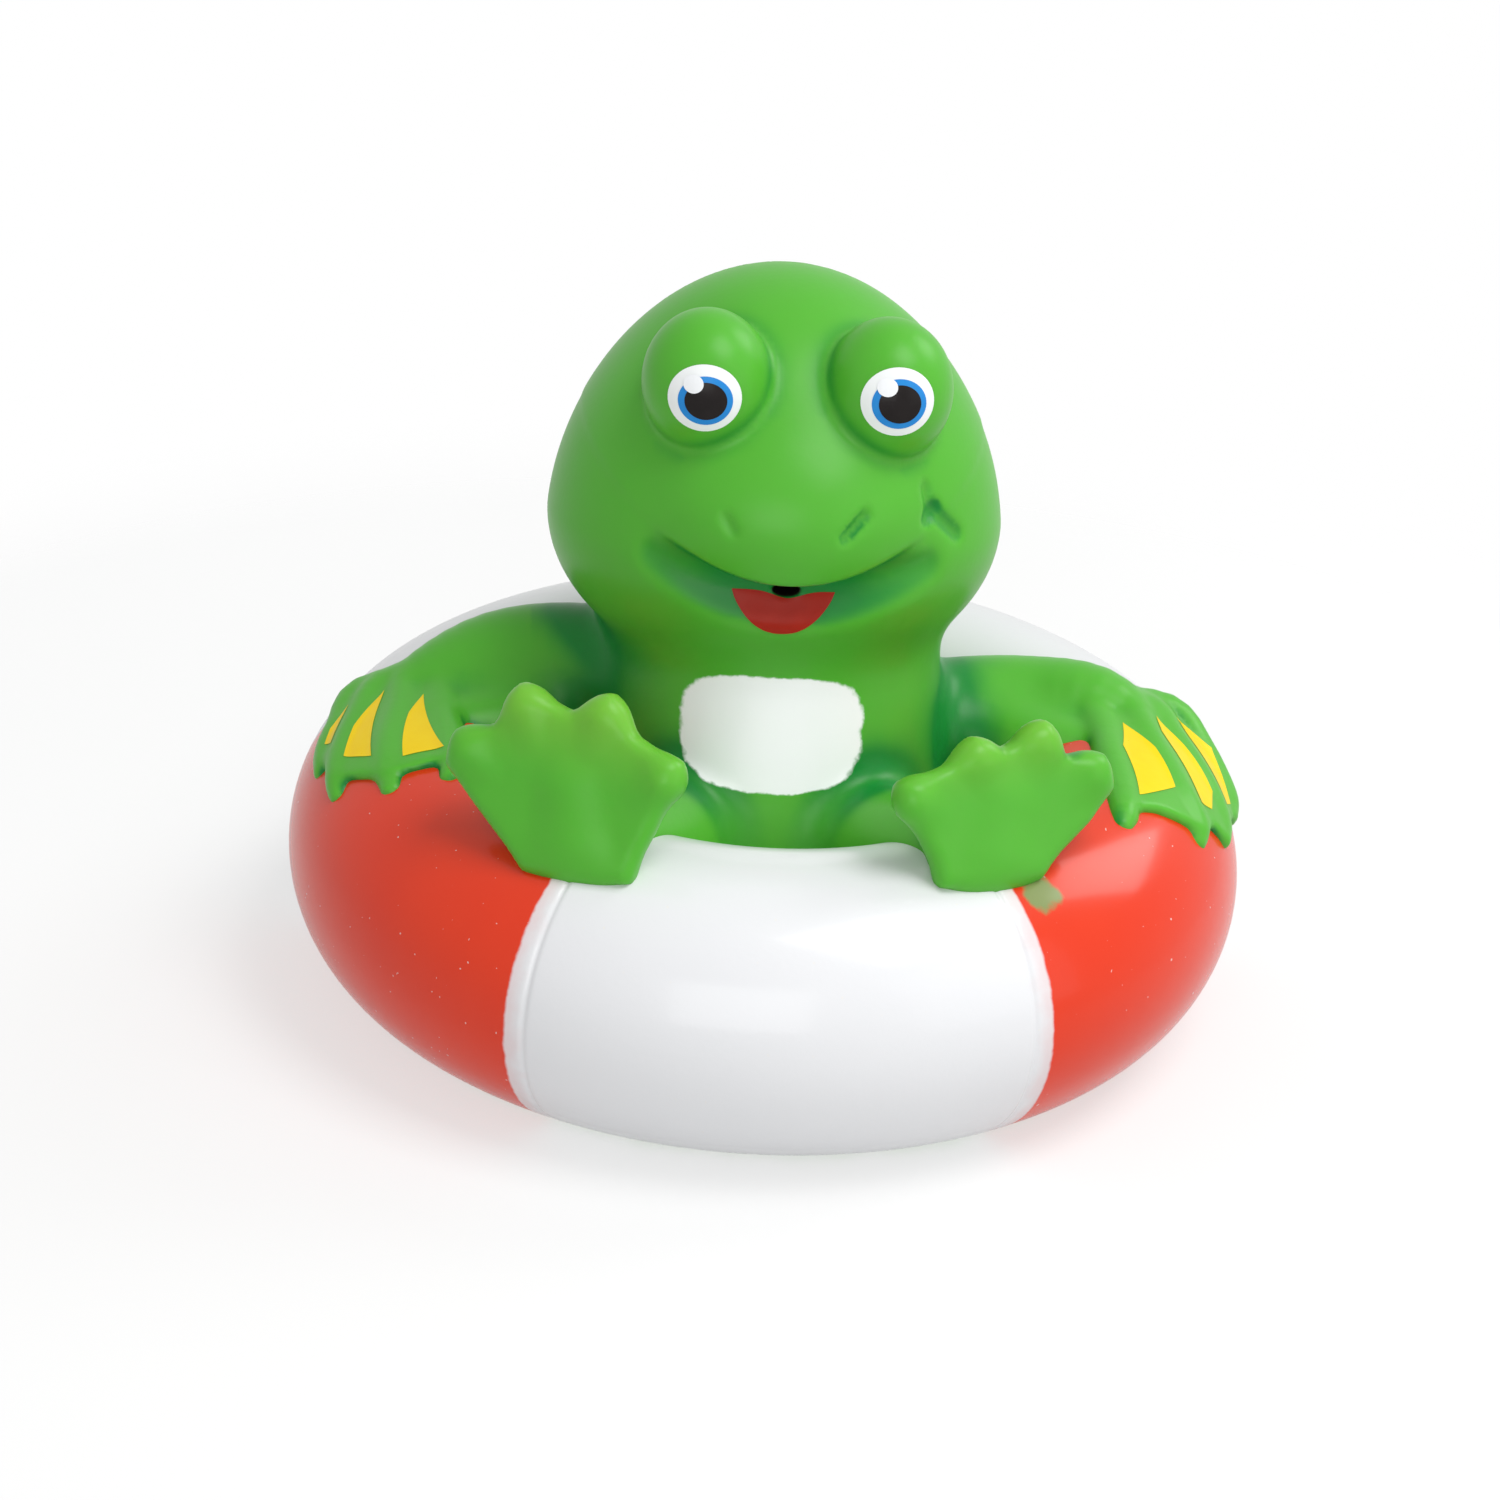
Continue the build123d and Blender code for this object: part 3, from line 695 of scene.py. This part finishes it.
def slab(rim, height, half, edge):
    """Distance to a plate with rounded edges, from its outline's distance and the height over it."""
    rim, face = rim + edge, np.abs(height) - (half - edge)
    outside = np.sqrt(np.maximum(rim, 0) ** 2 + np.maximum(face, 0) ** 2)
    return outside + np.minimum(np.maximum(rim, face), 0) - edge


def unrolled(azimuth, section):
    """Millimetres along the ring and around its tube, for angles in degrees."""
    reach = ring_radius + ring_tube * np.cos(np.radians(section))
    return np.radians(azimuth - 80.0) * reach, np.radians(section) * ring_tube


for side in (-1, 1):
    arm_path = [(side * px, py, pz) for px, py, pz in arm_paths[side]]
    frog_clay.limb(arm_path, arm_radii, 2.6)
    palm_drop = right_palm_drop if side > 0 else 0.0
    palm_path = [(side * px, py, pz - palm_drop) for px, py, pz in palm_points]
    frog_clay.limb(palm_path, palm_radii, 3.0)
    for index, finger in enumerate(fingers[side]):
        azimuths, sections = np.radians(np.array(finger, float)).T
        sunk = last_finger_sunk if side > 0 and index == 3 else finger_sunk
        path = [np.array(arm_path[3]), *on_ring(side * azimuths, sections, sunk)]
        between = np.linspace(*finger_radii, len(finger) - 2)
        frog_clay.limb(path, [wrist_radius, knuckle_radius, *between, fingertip_radius], 0.9)

    def hand_web(x, y, z):
        azimuth = np.degrees(np.arctan2(side * x, -y))
        reach = np.sqrt(x * x + y * y) - ring_radius
        section = np.degrees(np.arctan2(z - ring_height, reach))
        height = np.sqrt(reach**2 + (z - ring_height) ** 2) - ring_tube
        corners = np.array(hand_outlines[side], float)
        corners = np.stack(unrolled(corners[:, 0], corners[:, 1]), axis=1)
        return slab(outline_gap(corners, *unrolled(azimuth, section)), height, web_proud, web_rim)

    near, far = sorted((side * 20.0, side * 52.5))
    frog_clay.add(hand_web, (near, -30.0, 16.0), (far, 15.0, 33.0), 0.7)

# Legs come forward from the lap to feet that stand on the ring with their soles to the front.
foot_turn, foot_lean = math.radians(25.0), math.radians(20.0)
toe_tips = {
    -1: ((-6.6, 13.4), (1.6, 18.4), (10.9, 17.5), (16.7, 11.7)),
    1: ((-7.0, 12.0), (1.4, 15.2), (9.4, 15.7), (15.5, 11.4)),
}
foot_outlines = {
    -1: (
        *((-3.9, 0.9), (-4.5, 4.0), (-5.4, 6.7), (-6.5, 11.2), (-6.6, 13.4), (-1.9, 15.2), (1.6, 18.4)),
        *((5.4, 16.2), (10.9, 17.5), (13.2, 13.2), (16.7, 11.7), (17.4, 8.3), (14.0, 5.3), (9.7, 1.8)),
        (7.4, -0.3),
    ),
    1: (
        *((-3.9, 1.4), (-4.5, 4.2), (-5.4, 6.4), (-6.9, 10.0), (-7.0, 12.0), (-2.0, 13.2), (1.4, 15.2)),
        *((4.3, 13.9), (9.4, 15.7), (11.3, 12.3), (15.5, 11.4), (16.4, 8.2), (13.4, 5.2), (9.6, 2.6)),
        (7.4, 0.6),
    ),
}
sole_middle, sole_half, sole_rim = -1.0, 1.5, 1.2
heel_points = {-1: (-19.1, -37.2, 28.1), 1: (19.1, -36.7, 28.1)}
hip_aside, hip_y, hip_z = 9.5, -13, 21.0
toe_root, toe_radius = np.array([3.5, 3.0]), 2.1

for side in (-1, 1):
    heel = np.array(heel_points[side])
    turn = side * foot_turn
    level_normal = np.array([math.sin(turn), -math.cos(turn), 0.0]) * math.cos(foot_lean)
    normal = level_normal + (0.0, 0.0, math.sin(foot_lean))
    outward = side * np.array([math.cos(turn), math.sin(turn), 0.0])
    upward = np.cross(normal, side * outward)

    def on_sole(a, b, c=0.0):
        return heel + a * outward + b * upward + c * normal

    def sole(x, y, z):
        a, b, c = [across_space((x, y, z), heel, way) for way in (outward, upward, normal)]
        return slab(outline_gap(foot_outlines[side], a, b), c - sole_middle, sole_half, sole_rim)

    # the leg, the heel, the sole, the instep and the toes
    frog_clay.limb([(side * hip_aside, hip_y, hip_z), on_sole(3.0, 2.6, -5.8)], (7.0, 5.4), 3.0)
    frog_clay.limb([on_sole(0.2, 2.4, -3.2), on_sole(4.6, 2.4, -3.2)], (3.4, 3.4), 1.6)
    foot_box = np.array([on_sole(a, b, c) for a in (-10, 20) for b in (-4, 21) for c in (-6, 4)])
    frog_clay.add(sole, foot_box.min(axis=0), foot_box.max(axis=0), 1.8)
    frog_clay.limb([on_sole(2.5, 4.4, -3.3), on_sole(4.0, 8.5, -2.8)], (4.0, 3.4), 2.2)
    for a, b in toe_tips[side]:
        away = np.array([a - 3.5, b + 1.0])
        tip = np.array([a, b]) - toe_radius * away / np.linalg.norm(away)
        middle = 0.8 * tip + 0.2 * toe_root
        frog_clay.limb([on_sole(*middle, -1.6), on_sole(*tip, -1.0)], (1.6, toe_radius), 1.6)

# the flat underside and the well
underside, well_radius, well_top = 11.7, 10.1, 62.9
frog_clay.cut(lambda x, y, z: z - underside + 0 * (x + y), (-60, -60, 0), (60, 60, 15), 0.05)
frog_clay.cut(
    lambda x, y, z: np.maximum(np.sqrt(x * x + y * y) - well_radius, z - well_top),
    (-13, -13, 8),
    (13, 13, 66),
    0.05,
)
frog_points, frog_faces = frog_clay.skin()
frog = plain_mesh("frog", frog_points * mm, frog_faces.tolist())
frog.data.shade_smooth()


# painted shadow round the armpits: where the darker green is centred, and how far it reaches
armpit_shadows, armpit_shadow_reach = ((-15.0, -1.0, 33.5), (15.5, -1.0, 29.5)), 11.0


def closeness(points):
    """Painted shade: 0 in the open and towards 1 down in a crease, from how soon the way out meets
    vinyl again, with painted shadow added round the armpits and less by the eyes.
    """
    slope = frog_clay.slope(points)
    outward = slope / np.linalg.norm(slope, axis=1)[:, None]
    total = np.zeros(len(points))
    for reach in (2.0, 4.0, 7.0):
        far = points + reach * outward
        gap = np.clip(frog_clay.sample(far), -reach, reach)
        total += np.clip(1.0 - gap / reach, 0.0, 1.5) / 3
    for armpit in armpit_shadows:
        away = np.linalg.norm(points - np.array(armpit), axis=1)
        total += 0.4 * np.clip(1.0 - away / armpit_shadow_reach, 0.0, 1.0)
    by_the_eyes = np.clip((points[:, 2] - 57.0) / 4.0, 0.0, 1.0)
    return np.clip(total * (1.0 - 0.5 * by_the_eyes), 0.0, 1.0)


def thinness(points):
    """Painted light: towards 1 at the toes, where the vinyl is thinner and the colour is made paler for
    the light that comes through it.
    """
    forward = np.clip((-22.0 - points[:, 1]) / 6.0, 0.0, 1.0)
    return forward * np.clip((points[:, 2] - 36.5) / 8.5, 0.0, 1.0) * (points[:, 2] < 52.0)


# painted shade and painted light, kept on the frog's points for its colour
for name, values in (("closeness", closeness(frog_points)), ("thinness", thinness(frog_points))):
    frog.data.attributes.new(name, "FLOAT", "POINT").data.foreach_set("value", values)

frog_finish = Finish("frog_vinyl")
frog_bump = frog_finish.bump(frog_finish.noise(1400.0, 2.0), 0.03 * mm, 0.35)
x, y, z = [part / mm for part in frog_finish.along(frog_finish.place())]
belly_x, belly_z, belly_half_width, belly_half_height = -0.75, 34.2, 9.2, 5.9
belly_aside = ((x - belly_x) / belly_half_width).math("ABSOLUTE").math("POWER", 2.8)
belly_above = ((z - belly_z) / belly_half_height).math("ABSOLUTE").math("POWER", 3.4)
belly_edge = belly_aside + belly_above + (frog_finish.noise(900.0, 4.0) - 0.5) * 0.35
belly = (1.0 - belly_edge.step(0.92, 1.08)) * (1.0 - (y + 8.0).step(-0.5, 0.5))
hole_x, hole_y, hole_z = [float(part) for part in squirt_hole]
hole_aside, hole_above = (x - hole_x) / hole_width, (z - hole_z) / hole_height
hole_reach = hole_aside * hole_aside + hole_above * hole_above
hole_rim, hole_end = (y - hole_y).step(-0.3, 0.3), (y - hole_y).step(5.0, 5.5)
# painted shade: the inside of the squirt hole is coloured near black for the shadow in it
painted_hole_shade = (1.0 - hole_reach.step(1.0, 1.5)) * hole_rim * (1.0 - hole_end)
shade_share = frog_finish.node("ShaderNodeAttribute", {"attribute_name": "closeness"}, output="Fac")
toe_glow = frog_finish.node("ShaderNodeAttribute", {"attribute_name": "thinness"}, output="Fac")
# the colours of painted shade in creases and of painted light at the toes
shade_green, glow_green = (0.008, 0.24, 0.034, 1.0), (0.20, 0.50, 0.045, 1.0)
frog_green = frog_finish.mixed(shade_share.step(0.03, 0.40), bare_green, shade_green)
# painted light: the toes turn a paler yellow-green for light coming through the vinyl
frog_green = frog_finish.mixed(toe_glow.step(0.0, 1.0) * 0.75, frog_green, glow_green)
# painted shade: near black in the squirt hole
frog_green = frog_finish.mixed(painted_hole_shade, frog_green, (0.01, 0.006, 0.004, 1.0))
frog_layers = {
    0: belly,
    1: vinyl(frog_finish, frog_green, frog_bump),
    2: vinyl_paint(frog_finish, (0.96, 0.965, 0.975, 1.0), frog_bump),
}
frog_shader = frog_finish.node("ShaderNodeMixShader", None, frog_layers)
frog.data.materials.append(frog_finish.surface(frog_shader))
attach(frog, "float")
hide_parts("float_figure")

# ------------------------------------------------------------------ prints
# Eyes, mouth and the webs of the hands are printed on the vinyl, each print a film that follows the
# surface under it: sclera, iris, pupil and glint lie one over the other.

film_lift, film_step = 0.02, 0.03


def film(name, sheets, lift, material):
    """Films of paint, each from rows of places near the frog's surface, laid on it."""
    points, faces = [], []
    for sheet in sheets:
        rows, columns = np.shape(sheet)[:2]
        faces += grid_faces(rows, columns, False, False, start=sum(map(len, points)))
        points.append(frog_clay.settle(np.array(sheet).reshape(-1, 3), lift))
    piece = plain_mesh(name, np.concatenate(points) * mm, faces)
    piece.data.shade_smooth()
    piece.data.materials.append(material)
    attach(piece, "float")
    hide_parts("float_figure")


def print_colour(name, colour, second, roughness=0.25):
    """Printed paint with a faint cloudiness."""
    finish = Finish(name)
    tone = finish.mixed(finish.noise(700.0, 2.0), colour, second)
    rough = finish.noise(900.0, 2.0) * 0.1 + (roughness - 0.05)
    sockets = {"Base Color": tone, "Roughness": rough, "Specular IOR Level": 0.12}
    return finish.surface(finish.principled(sockets))


dot_squash = 0.9  # height of an eye print over its width
eye_width = 15.0  # across the bulge that the prints bow round


def dot(centre, facing, radius, aside=(0.0, 0.0)):
    """A round print, as rings of points on the eye's bulge."""
    normal = facing / np.linalg.norm(facing)
    level = np.cross((0.0, 0.0, 1.0), normal)
    level /= np.linalg.norm(level)
    rise = np.cross(normal, level)
    middle = centre + aside[0] * level + aside[1] * rise
    angles = np.linspace(0, 2 * math.pi, 49)
    rings = []
    for share in np.linspace(0.0, 1.0, 9):
        spread = np.outer(np.cos(angles), level) + dot_squash * np.outer(np.sin(angles), rise)
        place = spread * radius * share + aside[0] * level + aside[1] * rise
        bow = np.linalg.norm(place, axis=1) ** 2 / eye_width
        rings.append(middle + share * radius * spread - bow[:, None] * normal)
    return rings


eye_prints = {-1: (-9.1, -8.7, 67.55), 1: (10.1, -7.9, 67.7)}
print_layers = {"eye_whites": [], "irises": [], "pupils": [], "glints": []}
for side, seen in eye_prints.items():
    centre = frog_clay.struck(seen, toward_camera)
    facing = frog_clay.slope(centre[None])[0]
    for name, radius, aside in (
        ("eye_whites", 3.8, (0.0, 0.0)),
        ("irises", 2.75, (0.1, -0.15)),
        ("pupils", 2.1, (0.15, -0.15)),
        ("glints", 1.0, (-1.15, 1.5)),
    ):
        print_layers[name].append(dot(centre, facing, radius, aside))
print_colours = {
    "eye_whites": print_colour("eye_white", (0.83, 0.86, 0.86, 1), (0.88, 0.9, 0.9, 1)),
    "irises": print_colour("iris_blue", (0.02, 0.22, 0.62, 1), (0.03, 0.27, 0.68, 1)),
    "pupils": print_colour("pupil_black", (0.012, 0.01, 0.01, 1), (0.02, 0.016, 0.016, 1)),
    "glints": print_colour("glint_white", (0.83, 0.85, 0.87, 1), (0.88, 0.9, 0.92, 1)),
}
for depth, (name, dots) in enumerate(print_layers.items(), start=1):
    film(name, dots, film_lift + film_step * depth, print_colours[name])

mouth_left, mouth_right, mouth_top, mouth_drop = -5.85, 4.5, 51.2, 4.8
mouth_dip, dip_width = 0.9, 1.9  # where the mouth's upper edge sinks below the squirt hole
mouth_rows = []
for down in np.linspace(0.0, 1.0, 12):
    row = []
    for x_place in np.linspace(mouth_left, mouth_right, 41):
        aside = (2 * x_place - mouth_left - mouth_right) / (mouth_right - mouth_left)
        top = mouth_top - mouth_dip * math.exp(-(((x_place - squirt_hole[0]) / dip_width) ** 2))
        bottom = mouth_top - mouth_drop * (1 - abs(aside) ** 2.3) ** 0.8
        row.append(frog_clay.struck((x_place, -16.5, top + (bottom - top) * down), toward_camera))
    mouth_rows.append(row)
mouth_red = print_colour("mouth_red", (0.32, 0.012, 0.004, 1), (0.40, 0.02, 0.008, 1), 0.3)
film("mouth_print", [mouth_rows], film_lift + film_step, mouth_red)

web_outlines = {
    -1: (
        ((89.5, 84.8), (69.2, 85.2), (70.9, 70.2), (83.5, 78.6)),
        ((93.2, 69.8), (74.9, 60.6), (79.2, 50.9), (85.5, 57.4)),
        ((92.4, 56.1), (84.8, 47.6), (86.2, 44.0), (89.0, 47.2)),
    ),
    1: (
        ((88.5, 83.2), (79.4, 83.4), (66.3, 70.0), (74.2, 60.0), (82.5, 71.0)),
        ((93.5, 69.2), (88.6, 68.6), (75.6, 48.6), (77.2, 42.6), (81.5, 44.0), (88.4, 57.8)),
        ((98.2, 56.5), (95.0, 56.2), (83.7, 34.2), (85.8, 30.8), (95.2, 40.5)),
    ),
}
web_sheets = []
for side, outlines in web_outlines.items():
    for outline in outlines:
        corners = np.array(outline, float)
        middle = corners.mean(axis=0)
        rim = []
        for start, end in zip(corners, np.roll(corners, -1, axis=0)):
            rim.extend(start + (end - start) * share for share in np.linspace(0, 1, 12, endpoint=False))
        rim.append(rim[0])
        rim = np.array(rim)
        sheet = []
        for share in np.linspace(0.0, 1.0, 9):
            azimuths, sections = np.radians(middle + (rim - middle) * share).T
            sheet.append(on_ring(side * azimuths, sections, web_proud))
        web_sheets.append(sheet if side > 0 else [row[::-1] for row in sheet])
web_yellow = print_colour("web_yellow", (0.93, 0.62, 0.002, 1), (0.96, 0.68, 0.005, 1), 0.3)
film("web_prints", web_sheets, film_lift + film_step, web_yellow)

# ------------------------------------------------------------------ socket in the base
# A white plastic cup, moulded with its flange and pushed up into the hollow of the frog. The flange
# shows as a disc under the float.


def repaint(node, material):
    """Gives a CAD piece its finish."""
    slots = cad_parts[node].data.materials
    slots.clear()
    slots.append(material)


def moulded(name, colour, second, roughness, speckle=0.02, clearness=0.0):
    """Injection moulded plastic: a faint swirl in its colour and the fine grain of the mould."""
    finish = Finish(name)
    tone = finish.mixed(finish.noise(120.0, 3.0), colour, second)
    rough = finish.noise(500.0, 3.0) * 0.12 + (roughness - 0.06)
    grain = finish.bump(finish.noise(2600.0, 2.0), speckle * mm, 0.4)
    sockets = {"Base Color": tone, "Roughness": rough, "Normal": grain}
    sockets["Transmission Weight"] = clearness
    return finish.surface(finish.principled(sockets))


socket_white = moulded("socket_white", (0.74, 0.76, 0.77, 1), (0.79, 0.80, 0.81, 1), 0.35)
repaint("thermometer_socket", socket_white)

# ------------------------------------------------------------------ gasket
# A washer cut from black rubber sheet, squeezed between the flange and the vinyl floor.


def rubber(name, colour, second, roughness):
    """Black rubber with a fine matt bloom and a few paler scuffs."""
    finish = Finish(name)
    scuff = finish.noise(380.0, 5.0, 0.7).step(0.56, 0.74) * 0.5
    tone = finish.mixed(scuff, colour, second)
    rough = finish.noise(800.0, 3.0) * 0.2 + (roughness - 0.1)
    grain = finish.bump(finish.noise(1800.0, 4.0), 0.03 * mm, 0.5)
    sockets = {"Base Color": tone, "Roughness": rough, "Normal": grain}
    return finish.surface(finish.principled(sockets))


repaint("socket_gasket", rubber("gasket_black", (0.018, 0.018, 0.019, 1), (0.06, 0.06, 0.062, 1), 0.7))

# ------------------------------------------------------------------ stop ring
# A red plastic bush pressed into the mouth of the socket. It guides the tube and catches the collar.

repaint("stop_ring", moulded("stop_red", (0.60, 0.028, 0.012, 1), (0.66, 0.04, 0.018, 1), 0.32))

# ------------------------------------------------------------------ ballast ring
# A turned steel ring round the socket, low in the figure, that keeps the float upright.


def turned_steel(name):
    """Steel with the fine circles that the lathe left and a slight mottle of handling."""
    finish = Finish(name)
    across, along, rise = finish.along(finish.place())
    reach = (across * across + along * along).math("SQRT", 0.0)
    circles = (reach * 26000.0).math("SINE", 0.0) * (rise * 21000.0).math("SINE", 0.0)
    mottle = finish.noise(240.0, 4.0)
    tone = finish.mixed(mottle, (0.50, 0.51, 0.52, 1), (0.60, 0.60, 0.61, 1))
    rough = mottle * 0.16 + 0.22
    cut = finish.bump(circles + finish.noise(1500.0, 2.0), 0.008 * mm, 0.5)
    sockets = {"Base Color": tone, "Roughness": rough, "Metallic": 1.0, "Normal": cut}
    return finish.surface(finish.principled(sockets))


repaint("ballast_ring", turned_steel("ballast_steel"))

# ------------------------------------------------------------------ friction ring
# A black rubber ring in the collar's groove. It rubs in the socket's bore and holds the tube where
# it is left.

repaint("friction_ring", rubber("ring_black", (0.016, 0.016, 0.018, 1), (0.045, 0.045, 0.05, 1), 0.5))

# ------------------------------------------------------------------ thermometer tube
# A clear extruded tube with four slots at its lower end that let the water in to the bulb.


def clear(name, colour, index, roughness, ripple):
    """Clear plastic or glass with the slight ripple of drawing."""
    finish = Finish(name)
    drawn = finish.bump(finish.noise(160.0, 2.0), ripple * mm, 0.3)
    rough = finish.noise(420.0, 3.0) * 0.04 + roughness
    sockets = {
        "Base Color": colour,
        "Roughness": rough,
        "IOR": index,
        "Transmission Weight": 1.0,
        "Normal": drawn,
    }
    return finish.surface(finish.principled(sockets))


repaint("thermometer_tube", clear("tube_clear", (0.95, 0.98, 0.985, 1), 1.2, 0.01, 0.02))

# ------------------------------------------------------------------ tube collar
# A pale plastic cap glued on the tube's upper end, with a groove for the friction ring and a vent.

repaint("tube_collar", moulded("collar_white", (0.70, 0.72, 0.74, 1), (0.75, 0.77, 0.78, 1), 0.38))

# ------------------------------------------------------------------ grip cap
# A red plastic plug in the tube's lower end, with a notched rim to turn it by and a fin with the
# tether's eye.

cap_red = moulded("cap_red", (0.60, 0.028, 0.012, 1), (0.66, 0.042, 0.02, 1), 0.36, speckle=0.05)
repaint("grip_cap", cap_red)

# ------------------------------------------------------------------ foam cushions
# Two discs punched from open foam that hold the glass stem at its ends. The punch rounds the foam's
# edges, and its side bows in a little.

foam_finish = Finish("foam_cream")
pores = foam_finish.node(
    "ShaderNodeTexVoronoi", None, {"Vector": foam_finish.place(), "Scale": 2200.0}, output="Distance"
)
# painted shade: the foam is coloured darker in its pores, where shade falls
foam_tone_and_pore_shade = foam_finish.mixed(pores.step(0.05, 0.5), (0.58, 0.55, 0.46, 1), (0.83, 0.81, 0.74, 1))
foam_bump = foam_finish.bump(pores + foam_finish.noise(900.0, 4.0) * 0.5, 0.12 * mm, 0.8)
foam_sockets = {"Base Color": foam_tone_and_pore_shade, "Roughness": 0.95, "Sheen Weight": 0.2, "Normal": foam_bump}
foam_material = foam_finish.surface(foam_finish.principled(foam_sockets))

foam_rounding, foam_waist = 0.45, 0.12  # mm at the discs' edges and at the middle of their sides
pocket_edge, pocket_play = 0.2, 0.05
stem_low, stem_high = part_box("glass_stem")
stem_y = (stem_low[1] + stem_high[1]) / 2 / mm
pocket_radius = (stem_high[0] - stem_low[0]) / 2 / mm + pocket_play
for node, pocket_side in (("bulb_cushion", 1), ("top_cushion", -1)):
    low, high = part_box(node)
    bottom, top = low[2] / mm, high[2] / mm
    rim_radius = (high[0] - low[0]) / 2 / mm
    middle, half = (bottom + top) / 2, (top - bottom) / 2
    pocket_floor = (stem_low if pocket_side > 0 else stem_high)[2] / mm
    closed_face, open_face = (bottom, top) if pocket_side > 0 else (top, bottom)
    # rings of radius, height and share of the pocket's shift: from the middle of the closed face,
    # round the side, to the pocket's floor
    rings = [(share * (rim_radius - foam_rounding), closed_face, 0.0) for share in (0.0, 0.4, 0.8)]
    for angle in np.radians(np.arange(0.0, 181.0, 15.0)):
        rise = -math.cos(angle)
        inward = foam_waist * (1.0 - rise * rise) + foam_rounding * abs(rise) ** 8
        rings.append((rim_radius - inward, middle + pocket_side * half * rise, 0.0))
    rings.append(((rim_radius + pocket_radius) / 2, open_face, 0.5))
    rings.append((pocket_radius + pocket_edge, open_face, 1.0))
    rings.append((pocket_radius, open_face - pocket_side * pocket_edge, 1.0))
    rings.append((pocket_radius, pocket_floor, 1.0))
    rings.append((0.0, pocket_floor, 1.0))
    around = np.radians(np.arange(0.0, 360.0, 7.5))
    points = []
    for radius, height, shift in rings:
        for angle in around:
            across, along = radius * math.sin(angle), radius * math.cos(angle)
            points.append((across, along + shift * stem_y, height))
    faces = grid_faces(len(rings), len(around), False, True)
    if pocket_side < 0:
        faces = [face[::-1] for face in faces]
    disc = plain_mesh(node + "_foam", np.array(points) * mm, faces)
    disc.data.materials.append(foam_material)
    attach(disc, "thermometer")
    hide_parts(node)

# ------------------------------------------------------------------ glass stem and spirit
# A drawn glass stem with a bulb at its foot, and red spirit in the bulb and the bore.

repaint("glass_stem", clear("stem_glass", (0.97, 0.985, 0.985, 1), 1.15, 0.0, 0.01))

spirit_finish = Finish("spirit_red")
spirit_reds = (0.56, 0.006, 0.006, 1), (0.64, 0.012, 0.01, 1)
spirit_tone = spirit_finish.mixed(spirit_finish.noise(300.0, 2.0), *spirit_reds)
spirit_sockets = {"Base Color": spirit_tone, "Roughness": 0.08, "Coat Weight": 0.5}
repaint("spirit_column", spirit_finish.surface(spirit_finish.principled(spirit_sockets)))

# ------------------------------------------------------------------ scale card
# A strip of white plastic behind the stem, printed with a mark for each degree from 0 to 40, longer
# marks at the fives and tens, and plain numbers at the tens.

card_white = moulded("card_white", (0.84, 0.85, 0.86, 1), (0.88, 0.885, 0.89, 1), 0.5, speckle=0.01)
repaint("scale_card", card_white)

card_low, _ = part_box("scale_card")
print_face = card_low[1] / mm - 0.02
zero_height, degree_height = 20.0, 0.75  # mm
ten_mark, five_mark, short_mark, marks_start = 1.9, 1.45, 0.95, 2.45
numbers_x, number_size = -4.25, 1.5
ink = print_colour("card_ink", (0.012, 0.012, 0.014, 1), (0.03, 0.03, 0.034, 1), 0.4)
mark_points, mark_faces = [], []
for degree in range(41):
    height = zero_height + degree_height * degree
    length = ten_mark if degree % 10 == 0 else five_mark if degree % 5 == 0 else short_mark
    half = 0.09 if degree % 5 == 0 else 0.06
    for side in (-1, 1):
        reach = length if side > 0 else short_mark
        near, far = side * marks_start, side * (marks_start + reach)
        corner = len(mark_points)
        for across, rise in ((near, -half), (far, -half), (far, half), (near, half)):
            mark_points.append((across, print_face, height + rise))
        quad = (corner, corner + 1, corner + 2, corner + 3)
        mark_faces.append(quad if side > 0 else quad[::-1])
marks = plain_mesh("card_marks", np.array(mark_points) * mm, mark_faces)
marks.data.materials.append(ink)
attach(marks, "thermometer")

for degree in range(0, 41, 10):
    words = bpy.data.curves.new(f"number_{degree}", "FONT")
    words.body = str(degree)
    words.size = number_size * mm
    words.align_x = "CENTER"
    words.align_y = "CENTER"
    carrier = bpy.data.objects.new(f"number_{degree}", words)
    bpy.context.scene.collection.objects.link(carrier)
    carrier.rotation_euler = (math.pi / 2, 0.0, 0.0)
    number_height = zero_height + degree_height * degree
    carrier.location = (numbers_x * mm, print_face * mm, number_height * mm)
    bpy.context.view_layer.update()
    number_mesh = bpy.data.meshes.new_from_object(carrier)
    number_mesh.transform(carrier.matrix_world)
    bpy.data.objects.remove(carrier)
    number = bpy.data.objects.new(f"card_number_{degree}", number_mesh)
    bpy.context.scene.collection.objects.link(number)
    number_mesh.materials.clear()
    number_mesh.materials.append(ink)
    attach(number, "thermometer")

# ------------------------------------------------------------------ clips
# Two strips of clear film, bent round the stem and passed through slots in the card.

film_tones = (0.80, 0.83, 0.84, 1), (0.84, 0.86, 0.87, 1)
for node in ("lower_clip", "upper_clip"):
    repaint(node, moulded(node + "_film", *film_tones, 0.25, clearness=0.6))
